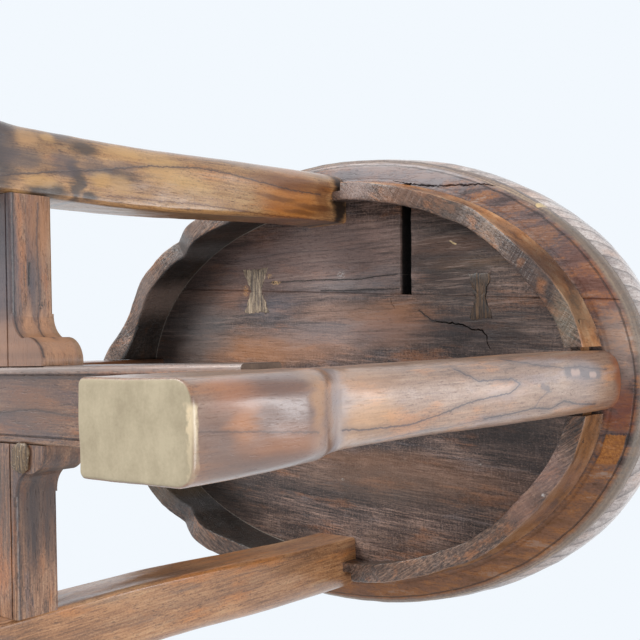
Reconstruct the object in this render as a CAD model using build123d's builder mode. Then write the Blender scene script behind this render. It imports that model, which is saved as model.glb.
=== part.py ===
from build123d import *
import math
import os

os.makedirs("parts", exist_ok=True)

# An oval stool of oiled hardwood. Four square legs stand at the ends of the two axes of the
# seat, a half-lapped cross of two stretchers ties them low down, and four bowed aprons with a
# scalloped lower edge run from leg to leg under a thick seat. X is the long axis of the seat,
# -Y is the front, and the floor is at Z = 0.

# Seat
seat_half_length = 262.5
seat_half_width = 178.5
slab_thickness = 28.0
slab_upper_round = 15.0
slab_lower_round = 9.0
board_thickness = 14.0
board_inset_along = 5.5
board_inset_across = 2.2
board_lower_round = 6.5
board_upper_round = 4.0
round_bands = 4

# Joint between the two seat boards, where it crosses the short axis, and its slant
board_joint_offset = 70.5
board_joint_slant = 4.3
board_arris = 0.7

# Slot in the narrow board, open to the joint
slot_centre = 76.0
slot_width = 10.0
slot_slant = 1.8
slot_end_margin = 26.3

# Butterfly keys let into the underside across the joint
key_depth = 8.0
key_proud = 0.4
left_key_place = -80.0
left_key_width = 29.0
left_key_length = 38.0
left_key_waist = 12.0
right_key_place = 138.5
right_key_width = 18.0
right_key_length = 33.0
right_key_waist = 8.5

# Legs
leg_height = 388.0
leg_setback_along = 22.5
leg_setback_across = 13.5
leg_depth_at_seat = 40.0
leg_depth_above_foot = 41.5
leg_outer_hollow = 7.0
leg_hollow_height = 150.0
leg_sweep_bands = 6
leg_width_at_seat = 39.5
leg_width_low = 36.0
leg_arris = 2.5
foot_height = 86.0
foot_width = 37.5
foot_depth = 55.0
foot_crown = 8.0
foot_crown_above = 5.6
foot_shoulder = 24.0
foot_shoulder_round = 7.2
foot_arris = 1.5

# Leg tenon, which passes the boards and ends blind in the slab
leg_tenon = 24.0
leg_tenon_length = 26.0

# Aprons
apron_setback_along = 32.5
apron_setback_across = 20.5
left_apron_thickness = 17.0
right_apron_thickness = 14.0
apron_depth = 55.0
apron_lean = 5.0
apron_gap_long_leg = 2.5
left_apron_gap_short_leg = 5.0
right_apron_gap_short_leg = 9.0
apron_tongue_thickness = 7.0
apron_tongue_setback = 9.5
apron_tongue_height = 14.0
apron_tongue_drop = 3.0
apron_tongue_bite = 7.0

# Stretchers
stretcher_width = 42.0
stretcher_thickness = 27.0
stretcher_bottom = 81.0
stretcher_arris = 2.2
stretcher_tenon_width = 26.0
stretcher_tenon_thickness = 13.0
stretcher_tenon_length = 24.0
bead_width = 4.0
bead_quirk = 1.3
hub_reach = 47.0
hub_cusp_along = 36.0
hub_cusp_across = 30.0
hub_flare_end = 50.0
hub_round_share = 0.65
hub_hollow_share = 0.3
shim_place = 26.0
shim_width = 8.0
shim_length = 14.0
shim_depth = 9.0
shim_proud = 0.8

# Clearances and the overrun of every cut
joint_clearance = 0.15
overrun = 5.0

# Heights and lengths that follow
board_bottom = leg_height
board_top = board_bottom + board_thickness
board_half_length = seat_half_length - board_inset_along
board_half_width = seat_half_width - board_inset_across
slot_outer_end = board_half_width - slot_end_margin
leg_reach_long = seat_half_length - leg_setback_along
leg_reach_short = seat_half_width - leg_setback_across
apron_outer_half_length = seat_half_length - apron_setback_along
apron_outer_half_width = seat_half_width - apron_setback_across
lap_height = stretcher_bottom + stretcher_thickness / 2
stretcher_seat = leg_depth_above_foot + leg_outer_hollow

up = Vector(0, 0, 1)


def save(part, name):
    """Labels one finished piece and writes it under its own name."""
    part.label = name
    export_step(part, f"parts/{name}.step")


def joint_y(x):
    """Y of the joint between the seat boards at one X."""
    return -board_joint_offset + x * math.tan(math.radians(board_joint_slant))


joint_along = Vector(math.cos(math.radians(board_joint_slant)), math.sin(math.radians(board_joint_slant)), 0)


def radial(angle):
    """Unit vector from the stool's centre toward the leg at this angle."""
    return Vector(math.cos(math.radians(angle)), math.sin(math.radians(angle)), 0)


def side_plane(angle):
    """Vertical plane through the centre and one leg: local X runs outward, local Y up."""
    return Plane(origin=(0, 0, 0), x_dir=radial(angle), z_dir=radial(angle).cross(up))


# Each leg: its angle about the centre, its outer face, and the outer face of the aprons beside it
legs = {
    "leg_right": (0, leg_reach_long, apron_outer_half_length),
    "leg_front": (-90, leg_reach_short, apron_outer_half_width),
    "leg_left": (180, leg_reach_long, apron_outer_half_length),
    "leg_back": (90, leg_reach_short, apron_outer_half_width),
}


def cut_leg_mortises(bottom, depth):
    """Cuts the four square leg mortises upward from one height in the part being built."""
    for angle, reach, apron_reach in legs.values():
        centre = radial(angle) * (reach - leg_depth_at_seat / 2)
        with Locations(centre + up * bottom):
            Box(
                leg_tenon + 2 * joint_clearance,
                leg_tenon + 2 * joint_clearance,
                depth,
                align=(Align.CENTER, Align.CENTER, Align.MIN),
                mode=Mode.SUBTRACT,
            )


def key_outline(width, length, waist):
    """Butterfly outline centred on the joint, long axis across it."""
    Polygon(
        (-width / 2, -length / 2),
        (width / 2, -length / 2),
        (waist / 2, 0),
        (width / 2, length / 2),
        (-width / 2, length / 2),
        (-waist / 2, 0),
        align=None,
    )


keys = {
    "butterfly_key_left": (left_key_place, left_key_width, left_key_length, left_key_waist),
    "butterfly_key_right": (right_key_place, right_key_width, right_key_length, right_key_waist),
}


def cut_key_pockets():
    """Cuts the pockets of both butterfly keys in the part being built."""
    for place, width, length, waist in keys.values():
        with BuildSketch(Plane.XY.offset(board_bottom)) as pocket:
            with Locations((place, joint_y(place))):
                play = 2 * joint_clearance
                key_outline(width + play, length + play, waist + play)
        extrude(pocket.sketch, amount=key_depth, mode=Mode.SUBTRACT)


def board_side(sign):
    """Plan area on one side of the slanted joint, sign +1 for the back and -1 for the front."""
    far = 2 * seat_half_length
    Polygon(
        (-far, joint_y(-far)),
        (far, joint_y(far)),
        (far, sign * far),
        (-far, sign * far),
        align=None,
    )


def rounded_oval(half_length, half_width, bottom, thickness, lower_round, upper_round):
    """Oval slab whose edge is rounded below and above, lofted in narrow bands."""
    rims = []
    for step in range(round_bands + 1):
        turn = math.pi / 2 * step / round_bands
        rims.append((lower_round * (1 - math.sin(turn)), bottom + lower_round * (1 - math.cos(turn))))
    for step in range(round_bands + 1):
        turn = math.pi / 2 * step / round_bands
        rims.append((upper_round * (1 - math.cos(turn)), bottom + thickness - upper_round * (1 - math.sin(turn))))
    sections = []
    for inset, height in rims:
        with BuildSketch(Plane.XY.offset(height)) as rim:
            Ellipse(half_length - inset, half_width - inset)
        sections.append(rim.sketch)
    loft(sections=sections, ruled=True)


# Upper slab of the seat, with a bullnose all round and blind mortises for the leg tenons
with BuildPart() as seat_slab:
    rounded_oval(seat_half_length, seat_half_width, board_top, slab_thickness, slab_lower_round, slab_upper_round)
    cut_leg_mortises(board_top, leg_tenon_length - board_thickness + joint_clearance)
save(seat_slab.part, "seat_slab")

# Two boards under the slab, whose edge shows as a rounded bead round the seat
for name, sign in (("seat_board_wide", 1), ("seat_board_narrow", -1)):
    with BuildPart() as seat_board:
        rounded_oval(
            board_half_length, board_half_width, board_bottom, board_thickness, board_lower_round, board_upper_round
        )
        with BuildSketch(Plane.XY.offset(board_bottom)):
            board_side(sign)
        extrude(amount=board_thickness, mode=Mode.INTERSECT)
        joint_edge = Vector(0, joint_y(0), board_bottom)
        arris_side = board_arris * math.sqrt(2)
        with Locations(Plane(origin=joint_edge, x_dir=joint_along, z_dir=joint_along.cross(up) + up)):
            Box(4 * seat_half_length, arris_side, arris_side, mode=Mode.SUBTRACT)
        cut_leg_mortises(board_bottom - overrun, board_thickness + 2 * overrun)
        cut_key_pockets()
        if sign < 0:
            slot_length = slot_outer_end + joint_y(slot_centre)
            slot_middle = (slot_centre, joint_y(slot_centre) - slot_length / 2, board_bottom - overrun)
            with Locations(Location(slot_middle, (0, 0, slot_slant))):
                Box(
                    slot_width,
                    slot_length + 2 * overrun,
                    board_thickness + 2 * overrun,
                    align=(Align.CENTER, Align.CENTER, Align.MIN),
                    mode=Mode.SUBTRACT,
                )
    save(seat_board.part, name)

# Butterfly keys across the joint
for name, (place, width, length, waist) in keys.items():
    with BuildPart() as butterfly_key:
        with BuildSketch(Plane.XY.offset(board_bottom - key_proud)):
            with Locations((place, joint_y(place))):
                key_outline(width, length, waist)
        extrude(amount=key_depth + key_proud)
    save(butterfly_key.part, name)


def leg_shaft(angle, reach):
    """Shaft of one leg: rounded rectangles that ease inward and narrow toward the foot."""
    stations = [(leg_height - (leg_height - leg_hollow_height) * step / leg_sweep_bands, step / leg_sweep_bands)
                for step in range(leg_sweep_bands + 1)]
    stations.append((foot_height / 2, 1))
    sections = []
    for height, down in stations:
        ease = math.sin(math.pi / 2 * down) ** 2
        depth = leg_depth_at_seat + (leg_depth_above_foot - leg_depth_at_seat) * ease
        width = leg_width_at_seat + (leg_width_low - leg_width_at_seat) * ease
        centre = radial(angle) * (reach - leg_outer_hollow * ease - depth / 2) + up * height
        with BuildSketch(Plane(origin=centre, x_dir=radial(angle), z_dir=up)) as section:
            RectangleRounded(depth, width, leg_arris)
        sections.append(section.sketch)
    loft(sections=sections, ruled=True)


def foot_side_profile(reach):
    """Outline of the foot block from the side: crowned toe outside, splayed heel inside."""
    inner = reach - stretcher_seat
    with BuildLine() as outline:
        Polyline(
            (reach - leg_outer_hollow - overrun, foot_height),
            (inner, foot_height),
            (inner, stretcher_bottom - overrun),
            (reach - foot_depth, foot_arris),
            (reach - foot_depth + foot_arris, 0),
            (reach + foot_crown - foot_arris, 0),
            (reach + foot_crown, foot_arris),
            (reach + foot_crown_above, foot_height - foot_shoulder),
        )
        ThreePointArc(
            (reach + foot_crown_above, foot_height - foot_shoulder),
            (reach, foot_height - foot_shoulder_round),
            (reach - leg_outer_hollow - overrun, foot_height),
        )
    make_face(outline.edges())


def foot_plan_profile(reach):
    """Plan of the foot block: square heel and a toe crowned across its width."""
    with BuildLine() as outline:
        Polyline(
            (reach, foot_width / 2),
            (reach - 2 * foot_depth, foot_width / 2),
            (reach - 2 * foot_depth, -foot_width / 2),
            (reach, -foot_width / 2),
        )
        ThreePointArc((reach, -foot_width / 2), (reach + foot_crown, 0), (reach, foot_width / 2))
    make_face(outline.edges())


# Legs: a hollow-backed shaft on a crowned foot, with a tenon above and mortises beside it
for name, (angle, reach, apron_reach) in legs.items():
    with BuildPart() as foot:
        with BuildSketch(side_plane(angle)):
            foot_side_profile(reach)
        extrude(amount=foot_width, both=True)
        with BuildSketch(Plane(origin=(0, 0, 0), x_dir=radial(angle), z_dir=up)):
            foot_plan_profile(reach)
        extrude(amount=foot_height + overrun, mode=Mode.INTERSECT)
    with BuildPart() as leg:
        leg_shaft(angle, reach)
        add(foot.part)
        tenon_centre = radial(angle) * (reach - leg_depth_at_seat / 2)
        with Locations(tenon_centre + up * leg_height):
            Box(leg_tenon, leg_tenon, leg_tenon_length, align=(Align.CENTER, Align.CENTER, Align.MIN))
        mortise_reach = reach - stretcher_seat + (stretcher_tenon_length - overrun) / 2
        mortise_centre = radial(angle) * mortise_reach + up * lap_height
        with Locations(Plane(origin=mortise_centre, x_dir=radial(angle), z_dir=up)):
            Box(
                stretcher_tenon_length + overrun + 2 * joint_clearance,
                stretcher_tenon_width + 2 * joint_clearance,
                stretcher_tenon_thickness + 2 * joint_clearance,
                mode=Mode.SUBTRACT,
            )
        tongue_reach = apron_reach - apron_tongue_setback
        tongue_height = leg_height - apron_tongue_drop - apron_tongue_height / 2
        for side in (1, -1):
            tongue_centre = radial(angle) * tongue_reach + radial(angle + 90) * side * leg_width_at_seat / 2
            with Locations(Plane(origin=tongue_centre + up * tongue_height, x_dir=radial(angle), z_dir=up)):
                Box(
                    apron_tongue_thickness + 2 * joint_clearance,
                    2 * apron_tongue_bite + 2 * joint_clearance,
                    apron_tongue_height + 2 * joint_clearance,
                    mode=Mode.SUBTRACT,
                )
    save(leg.part, name)


# Lower edge of the aprons from the long-axis leg to the short-axis leg: shares of the chord and
# shares of the depth, one list for each stretch between two cusps
left_scallop_shares = (
    ((-0.02, 1.00), (0.02, 0.92), (0.06, 0.75), (0.10, 0.64), (0.15, 0.63), (0.21, 0.67), (0.28, 0.73)),
    ((0.28, 0.73), (0.34, 0.76), (0.41, 0.77), (0.47, 0.72), (0.52, 0.63)),
    ((0.52, 0.63), (0.57, 0.77), (0.63, 0.88), (0.71, 0.91), (0.80, 0.84), (0.90, 0.76), (0.96, 0.88), (1.02, 1.00)),
)
right_scallop_shares = (
    ((-0.02, 0.42), (0.03, 0.43), (0.09, 0.41)),
    ((0.09, 0.41), (0.14, 0.45), (0.22, 0.51), (0.30, 0.52), (0.38, 0.45), (0.46, 0.36), (0.53, 0.28)),
    ((0.53, 0.28), (0.58, 0.35), (0.66, 0.47), (0.75, 0.54), (0.84, 0.50), (0.94, 0.37), (1.02, 0.31)),
)


def apron_chord_plane(side_x, side_y):
    """Plane on the chord of one apron at seat height: local X from the long-axis leg."""
    start = Vector(side_x * (apron_outer_half_length - apron_tongue_setback), side_y * leg_width_at_seat / 2, 0)
    end = Vector(side_x * leg_width_at_seat / 2, side_y * (apron_outer_half_width - apron_tongue_setback), 0)
    along = (end - start).normalized()
    return Plane(origin=start + up * leg_height, x_dir=along, z_dir=along.cross(up)), (end - start).length


def scallop_profile(scallop_shares, chord):
    """Area above the scalloped lower edge, in the plane of the apron's chord."""
    first = scallop_shares[0][0]
    last = scallop_shares[-1][-1]
    with BuildLine() as outline:
        for stretch in scallop_shares:
            Spline(*[(along * chord, -deep * apron_depth) for along, deep in stretch])
        Polyline(
            (last[0] * chord, -last[1] * apron_depth),
            (last[0] * chord, overrun),
            (first[0] * chord, overrun),
            (first[0] * chord, -first[1] * apron_depth),
        )
    make_face(outline.edges())


def add_tongue(centre, length_x, length_y):
    """Adds one end tongue of an apron, centred under the seat."""
    with Locations(centre + up * (leg_height - apron_tongue_drop - apron_tongue_height / 2)):
        Box(length_x, length_y, apron_tongue_height)


# Aprons: bowed walls that lean in below, scalloped along the lower edge, tongued into the legs
aprons = {
    "apron_front_right": (1, -1, right_scallop_shares, right_apron_thickness, right_apron_gap_short_leg),
    "apron_back_right": (1, 1, right_scallop_shares, right_apron_thickness, right_apron_gap_short_leg),
    "apron_front_left": (-1, -1, left_scallop_shares, left_apron_thickness, left_apron_gap_short_leg),
    "apron_back_left": (-1, 1, left_scallop_shares, left_apron_thickness, left_apron_gap_short_leg),
}
for name, (side_x, side_y, scallop_shares, thickness, gap_short_leg) in aprons.items():
    with BuildPart() as apron:
        for inset, mode in ((0, Mode.ADD), (thickness, Mode.SUBTRACT)):
            for drop, lean in ((0, 0), (apron_depth, apron_lean)):
                with BuildSketch(Plane.XY.offset(leg_height - drop)):
                    Ellipse(apron_outer_half_length - inset - lean, apron_outer_half_width - inset - lean)
            loft(ruled=True, mode=mode)
        inner_x = leg_width_at_seat / 2 + gap_short_leg
        inner_y = leg_width_at_seat / 2 + apron_gap_long_leg
        corner = (side_x * (inner_x + seat_half_length / 2), side_y * (inner_y + seat_half_length / 2), leg_height)
        with Locations(corner):
            Box(seat_half_length, seat_half_length, 2 * apron_depth + overrun, mode=Mode.INTERSECT)
        chord_plane, chord = apron_chord_plane(side_x, side_y)
        with BuildSketch(chord_plane):
            scallop_profile(scallop_shares, chord)
        extrude(amount=seat_half_length, both=True, mode=Mode.INTERSECT)
        tongue_x = apron_outer_half_length - apron_tongue_setback
        tongue_y = apron_outer_half_width - apron_tongue_setback
        reach_x = apron_tongue_bite + gap_short_leg + overrun
        reach_y = apron_tongue_bite + apron_gap_long_leg + overrun
        add_tongue(
            Vector(side_x * tongue_x, side_y * (leg_width_at_seat / 2 - apron_tongue_bite + reach_y / 2), 0),
            apron_tongue_thickness,
            reach_y,
        )
        add_tongue(
            Vector(side_x * (leg_width_at_seat / 2 - apron_tongue_bite + reach_x / 2), side_y * tongue_y, 0),
            reach_x,
            apron_tongue_thickness,
        )
    save(apron.part, name)


def quirk_grooves(length, along_x):
    """Cuts the narrow grooves that leave a bead along both lower arrises of a stretcher."""
    for side in (1, -1):
        offset = side * (stretcher_width / 2 - bead_width - bead_quirk / 2)
        centre = (0, offset, stretcher_bottom) if along_x else (offset, 0, stretcher_bottom)
        size = (length, bead_quirk) if along_x else (bead_quirk, length)
        with Locations(centre):
            Box(size[0], size[1], 2 * bead_quirk, mode=Mode.SUBTRACT)


# Long stretcher: runs whole on the floor side of the crossing and is notched above
long_half = leg_reach_long - stretcher_seat
with BuildPart() as stretcher_long:
    with Locations((0, 0, stretcher_bottom)):
        Box(2 * long_half, stretcher_width, stretcher_thickness, align=(Align.CENTER, Align.CENTER, Align.MIN))
    fillet(stretcher_long.edges().filter_by(Axis.X), stretcher_arris)
    quirk_grooves(2 * long_half, True)
    with Locations((0, 0, lap_height)):
        Box(
            stretcher_width + 2 * joint_clearance,
            stretcher_width + overrun,
            stretcher_thickness,
            align=(Align.CENTER, Align.CENTER, Align.MIN),
            mode=Mode.SUBTRACT,
        )
    for side in (1, -1):
        with Locations((side * (long_half + (stretcher_tenon_length - overrun) / 2), 0, lap_height)):
            Box(stretcher_tenon_length + overrun, stretcher_tenon_width, stretcher_tenon_thickness)
save(stretcher_long.part, "stretcher_long")


def hub_lobe():
    """Plan of one carved lobe in a corner of the crossing: a round, a cusp and a flare."""
    half = stretcher_width / 2
    round_across = half + (hub_cusp_along - half) * hub_round_share
    hollow_across = half + (hub_cusp_across - half) * hub_hollow_share
    hollow_along = (hub_cusp_along + hub_flare_end) / 2 - stretcher_arris
    with BuildLine() as outline:
        ThreePointArc(
            (hub_reach, half),
            (hub_reach - stretcher_arris, round_across),
            (hub_cusp_across, hub_cusp_along),
        )
        ThreePointArc(
            (hub_cusp_across, hub_cusp_along),
            (hollow_across, hollow_along),
            (half, hub_flare_end),
        )
        Polyline((half, hub_flare_end), (0, hub_flare_end), (0, half), (hub_reach, half))
    make_face(outline.edges())


# Short stretcher: carries the lobed hub and is notched on the floor side to pass over the long one
short_half = leg_reach_short - stretcher_seat
with BuildPart() as stretcher_short:
    with BuildSketch(Plane.XY.offset(stretcher_bottom)):
        Rectangle(stretcher_width, 2 * short_half)
    extrude(amount=stretcher_thickness)
    fillet(stretcher_short.edges().filter_by(Axis.Y), stretcher_arris)
    for side_x in (1, -1):
        for side_y in (1, -1):
            turned_up = side_x * side_y
            lobe_plane = Plane(origin=(0, 0, stretcher_bottom), x_dir=(side_x, 0, 0), z_dir=(0, 0, turned_up))
            with BuildSketch(lobe_plane):
                hub_lobe()
            extrude(amount=turned_up * stretcher_thickness)
    quirk_grooves(2 * short_half, False)
    with Locations((0, 0, lap_height)):
        Box(
            2 * hub_reach + overrun,
            stretcher_width + 2 * joint_clearance,
            stretcher_thickness,
            align=(Align.CENTER, Align.CENTER, Align.MAX),
            mode=Mode.SUBTRACT,
        )
    with Locations((shim_place, stretcher_width / 2, stretcher_bottom)):
        Box(
            shim_width,
            shim_length + joint_clearance,
            shim_depth,
            align=(Align.CENTER, Align.MIN, Align.MIN),
            mode=Mode.SUBTRACT,
        )
    for side in (1, -1):
        with Locations((0, side * (short_half + (stretcher_tenon_length - overrun) / 2), lap_height)):
            Box(stretcher_tenon_width, stretcher_tenon_length + overrun, stretcher_tenon_thickness)
save(stretcher_short.part, "stretcher_short")

# Shim driven in beside the lap
with BuildPart() as crossing_shim:
    with Locations((shim_place, stretcher_width / 2 + 2 * joint_clearance, stretcher_bottom - shim_proud)):
        Box(
            shim_width - 2 * joint_clearance,
            shim_length - 2 * joint_clearance,
            shim_depth + shim_proud - joint_clearance,
            align=(Align.CENTER, Align.MIN, Align.MIN),
        )
save(crossing_shim.part, "crossing_shim")
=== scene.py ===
"""Looks of an oval hardwood stool: carved pieces, aged timber and a plain pale studio."""
import contextlib
import math

import bmesh
import bpy
import numpy as np
from bpy.props import FloatProperty, FloatVectorProperty, PointerProperty
from mathutils import Matrix


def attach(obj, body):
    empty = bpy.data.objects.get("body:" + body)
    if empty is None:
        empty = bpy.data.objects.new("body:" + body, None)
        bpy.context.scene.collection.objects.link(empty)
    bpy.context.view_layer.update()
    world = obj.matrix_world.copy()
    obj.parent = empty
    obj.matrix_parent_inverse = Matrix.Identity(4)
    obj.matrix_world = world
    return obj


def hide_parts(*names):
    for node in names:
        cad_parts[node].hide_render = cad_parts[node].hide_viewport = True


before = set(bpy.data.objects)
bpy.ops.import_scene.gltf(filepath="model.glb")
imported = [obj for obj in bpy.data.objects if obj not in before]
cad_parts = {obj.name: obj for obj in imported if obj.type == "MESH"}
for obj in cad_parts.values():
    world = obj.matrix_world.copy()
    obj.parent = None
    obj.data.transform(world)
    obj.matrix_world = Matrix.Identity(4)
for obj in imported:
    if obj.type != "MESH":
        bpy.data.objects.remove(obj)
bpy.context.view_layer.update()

bl_info = {
    "name": "Oval Stool Dresser",
    "version": (1, 0, 0),
    "blender": (4, 5, 0),
    "location": "View3D > Sidebar > Stool",
    "description": "Carves and finishes the pieces of an oval hardwood stool",
    "category": "Object",
}

MM = 0.001

# Sizes in millimetres. The floor is at height 0, and UNDERSIDE is the lower face of the seat.
UNDERSIDE, BOARD_TOP, SEAT_TOP = 388.0, 402.0, 430.0
SEAT_HALF, BOARD_HALF, APRON_HALF = (262.5, 178.5), (257.0, 176.3), (230.0, 158.0)
AROUND_SEAT = 640
JOINT_OFFSET, JOINT_SLANT = 70.5, math.radians(4.3)
SLOT = [(69.7, -60.0), (79.7, -60.0), (82.3, -149.5), (72.3, -149.5)]
KEYS = ((-80.0, 29.0, 38.0, 12.0), (138.5, 18.0, 33.0, 8.5))  # place along the joint, width, length, waist
KEY_DEPTH = 8.0
LEG_HALF = 19.75
# Each leg: reach of its outer face, height of its collar, angle about the stool's middle
LEGS = {"leg_right": (240.0, 94.0, 0.0), "leg_front": (165.0, 77.0, -90.0),
        "leg_left": (240.0, 88.0, 180.0), "leg_back": (165.0, 88.0, 90.0)}
APRON_DEPTH, APRON_LEAN, TONGUE_SETBACK = 55.0, 5.0, 9.5
# The shim's middle, the height where its battered head begins, and its rings of (height, length, width)
SHIM_X, SHIM_Y, SHIM_HEAD, SHIM_WIDTH = 26.0, 28.1, 81, 7.8
SHIM_RINGS = ((89.0, 13.8, 7.8), (85.0, 13.8, 7.8), (81.3, 13.8, 7.8), (80.9, 14.8, 10.4), (80.2, 16.6, 14.0),
              (79.3, 16.2, 13.6), (78.5, 13.8, 11.0), (78.1, 9.0, 6.6))


# Shapes


def joint_y(x):
    """Y of the joint between the two seat boards at one X."""
    return -JOINT_OFFSET + x * math.tan(JOINT_SLANT)


def ripple(points, size, seed):
    """Smooth noise near -1 to 1 at each point, with bumps of about this size."""
    draw = np.random.default_rng(seed)
    total = np.zeros(points.shape[:-1])
    for _ in range(10):
        way = draw.normal(size=3)
        way *= 2 * math.pi / (size * draw.uniform(0.7, 1.7) * np.linalg.norm(way))
        total += np.sin(points @ way + draw.uniform(0, 2 * math.pi))
    return total / 3.2


def smooth_step(low, high, value):
    """0 at low, 1 at high and a soft ramp between."""
    share = np.clip((value - low) / (high - low), 0, 1)
    return share * share * (3 - 2 * share)


def object_from(name, points, faces):
    """An object from points in millimetres."""
    mesh = bpy.data.meshes.new(name)
    mesh.from_pydata((np.asarray(points, float) * MM).tolist(), [], faces)
    made = bpy.data.objects.new(name, mesh)
    bpy.context.collection.objects.link(made)
    return made


def piece_from(name, points, faces, material, node, slot):
    """A smooth-shaded piece that stands for one of the solids."""
    piece = object_from(name, points, faces)
    piece.data.validate()
    piece.data.shade_smooth()
    piece.data.materials.append(material)
    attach(piece, "root")
    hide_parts(node)
    return piece


@contextlib.contextmanager
def opened(mesh):
    """A mesh opened for editing, and written back."""
    edited = bmesh.new()
    edited.from_mesh(mesh)
    yield edited
    edited.to_mesh(mesh)
    edited.free()


def tube(rings):
    """Points and faces of a closed tube; each flat end has a ring just inside its edge and a middle point."""
    rings = np.asarray(rings, float)
    ends = [rings[0].mean(axis=0), rings[-1].mean(axis=0)]
    inner = [[end + (ring - end) * 0.93] for end, ring in zip(ends, (rings[0], rings[-1]))]
    rings = np.concatenate([inner[0], rings, inner[1]])
    count, around = rings.shape[:2]
    faces = []
    for low in range(0, (count - 1) * around, around):
        high = low + around
        faces += [(low + k, low + (k + 1) % around, high + (k + 1) % around, high + k) for k in range(around)]
    top, middle = (count - 1) * around, count * around
    for k in range(around):
        after = (k + 1) % around
        faces += [(after, k, middle), (top + k, top + after, middle + 1)]
    return rings.reshape(-1, 3).tolist() + [end.tolist() for end in ends], faces


def oval_rings(half, profile, seed, wear):
    """Rings of an oval slab from a profile of (inset, height), with hand-worn unevenness."""
    turn = np.linspace(0, 2 * math.pi, AROUND_SEAT, endpoint=False)
    rings = np.array([
        np.stack([(half[0] - inset) * np.cos(turn), (half[1] - inset) * np.sin(turn), turn * 0 + height], axis=1)
        for inset, height in profile])
    outward = rings * [1 / half[0] ** 2, 1 / half[1] ** 2, 0]
    outward /= np.maximum(np.linalg.norm(outward, axis=2, keepdims=True), 1e-9)
    push = wear * (0.7 * ripple(rings, 70, seed) + 0.3 * ripple(rings, 17, seed + 1))
    edge = smooth_step(30, 0, np.array([inset for inset, _ in profile]))[:, None]
    return rings + outward * (push * edge)[..., None]


def oval_profile(bottom, top, lower, upper, flat_low, flat_high, reach):
    """Profile of a slab with rounded edges, from the middle below round to the middle above."""
    turns = [(math.sin(turn), math.cos(turn)) for turn in np.linspace(0, math.pi / 2, 9)]
    return ([(inset, bottom) for inset in np.linspace(reach - 4, lower, flat_low, endpoint=False)]
            + [(lower * (1 - sine), bottom + lower * (1 - cosine)) for sine, cosine in turns]
            + [(upper * (1 - cosine), top - upper * (1 - sine)) for sine, cosine in turns]
            + [(inset, top) for inset in np.linspace(upper, reach - 4, flat_high)][1:])


def crisp_edges(piece, angle=35.0):
    """Keeps cut edges crisp on a smooth-shaded mesh."""
    with opened(piece.data) as mesh:
        bmesh.ops.remove_doubles(mesh, verts=mesh.verts, dist=1e-7)
        for edge in mesh.edges:
            if len(edge.link_faces) == 2 and edge.calc_face_angle(0.0) > math.radians(angle):
                edge.smooth = False


def cut_flat(mesh, point, normal):
    """Cuts a closed mesh by a plane, drops the side the normal points to and closes the cut."""
    whole = list(mesh.verts) + list(mesh.edges) + list(mesh.faces)
    made = bmesh.ops.bisect_plane(mesh, geom=whole, dist=1e-7, plane_co=point, plane_no=normal, clear_outer=True)
    edges = [part for part in made["geom_cut"] if isinstance(part, bmesh.types.BMEdge)]
    bmesh.ops.holes_fill(mesh, edges=edges, sides=0)


def cut_away(piece, cutters, operation="DIFFERENCE"):
    """Cuts closed meshes out of a piece, or joins them to it, and keeps only the result."""
    for cutter in cutters:
        carve = piece.modifiers.new("carve", "BOOLEAN")
        carve.object = cutter
        carve.operation = operation
        carve.solver = "EXACT"
    settled = piece.evaluated_get(bpy.context.evaluated_depsgraph_get())
    spent = [piece.data] + [cutter.data for cutter in cutters]
    mesh = bpy.data.meshes.new_from_object(settled)
    piece.modifiers.clear()
    piece.data = mesh
    for cutter in cutters:
        bpy.data.objects.remove(cutter)
    for old in spent:
        bpy.data.meshes.remove(old)


def cutter_from(name, points, faces):
    """A bare closed object used only as a cutter."""
    cutter = object_from(name, points, faces)
    with opened(cutter.data) as mesh:
        bmesh.ops.recalc_face_normals(mesh, faces=mesh.faces)
    return cutter


def crack_cutter(name, route, width, depth, seed):
    """Ragged wedge along a route on the underside of the seat, widest in its middle."""
    draw = np.random.default_rng(seed)
    route = np.array(route, float)
    along = np.concatenate([[0], np.cumsum(np.linalg.norm(np.diff(route, axis=0), axis=1))])
    count = max(8, int(along[-1] / 1.6))
    spots = np.linspace(0, along[-1], count)
    x = np.interp(spots, along, route[:, 0]) + draw.normal(0, 0.18, count)
    y = np.interp(spots, along, route[:, 1]) + draw.normal(0, 0.28, count)
    swell = np.sin(np.pi * np.linspace(0.02, 0.98, count)) ** 0.6 * draw.uniform(0.55, 1.1, count)
    way = np.stack([np.gradient(x), np.gradient(y)], axis=1)
    way /= np.linalg.norm(way, axis=1, keepdims=True)
    off = np.stack([-way[:, 1], way[:, 0]], axis=1) * (width / 2 * swell)[:, None]
    points = []
    for a, b, (p, q), rise in zip(x, y, off, depth * swell):
        points += [(a + p, b + q, UNDERSIDE - 1.5), (a - p, b - q, UNDERSIDE - 1.5), (a - p, b - q, UNDERSIDE + 0.1),
                   (a, b, UNDERSIDE + rise), (a + p, b + q, UNDERSIDE + 0.1)]
    faces = [(4, 3, 2, 1, 0), tuple(range(5 * count - 5, 5 * count))]
    for k in range(0, 5 * count - 5, 5):
        faces += [(k + j, k + (j + 1) % 5, k + 5 + (j + 1) % 5, k + 5 + j) for j in range(5)]
    return cutter_from(name, points, faces)


def prism_cutter(name, outline, low, high):
    """Upright prism on an outline of (x, y) points."""
    count = len(outline)
    area = sum(a[0] * b[1] - b[0] * a[1] for a, b in zip(outline, outline[1:] + outline[:1]))
    outline = outline if area > 0 else outline[::-1]
    points = [(x, y, low) for x, y in outline] + [(x, y, high) for x, y in outline]
    faces = [tuple(range(count))[::-1], tuple(range(count, 2 * count))]
    faces += [(k, (k + 1) % count, count + (k + 1) % count, count + k) for k in range(count)]
    return cutter_from(name, points, faces)


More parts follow.
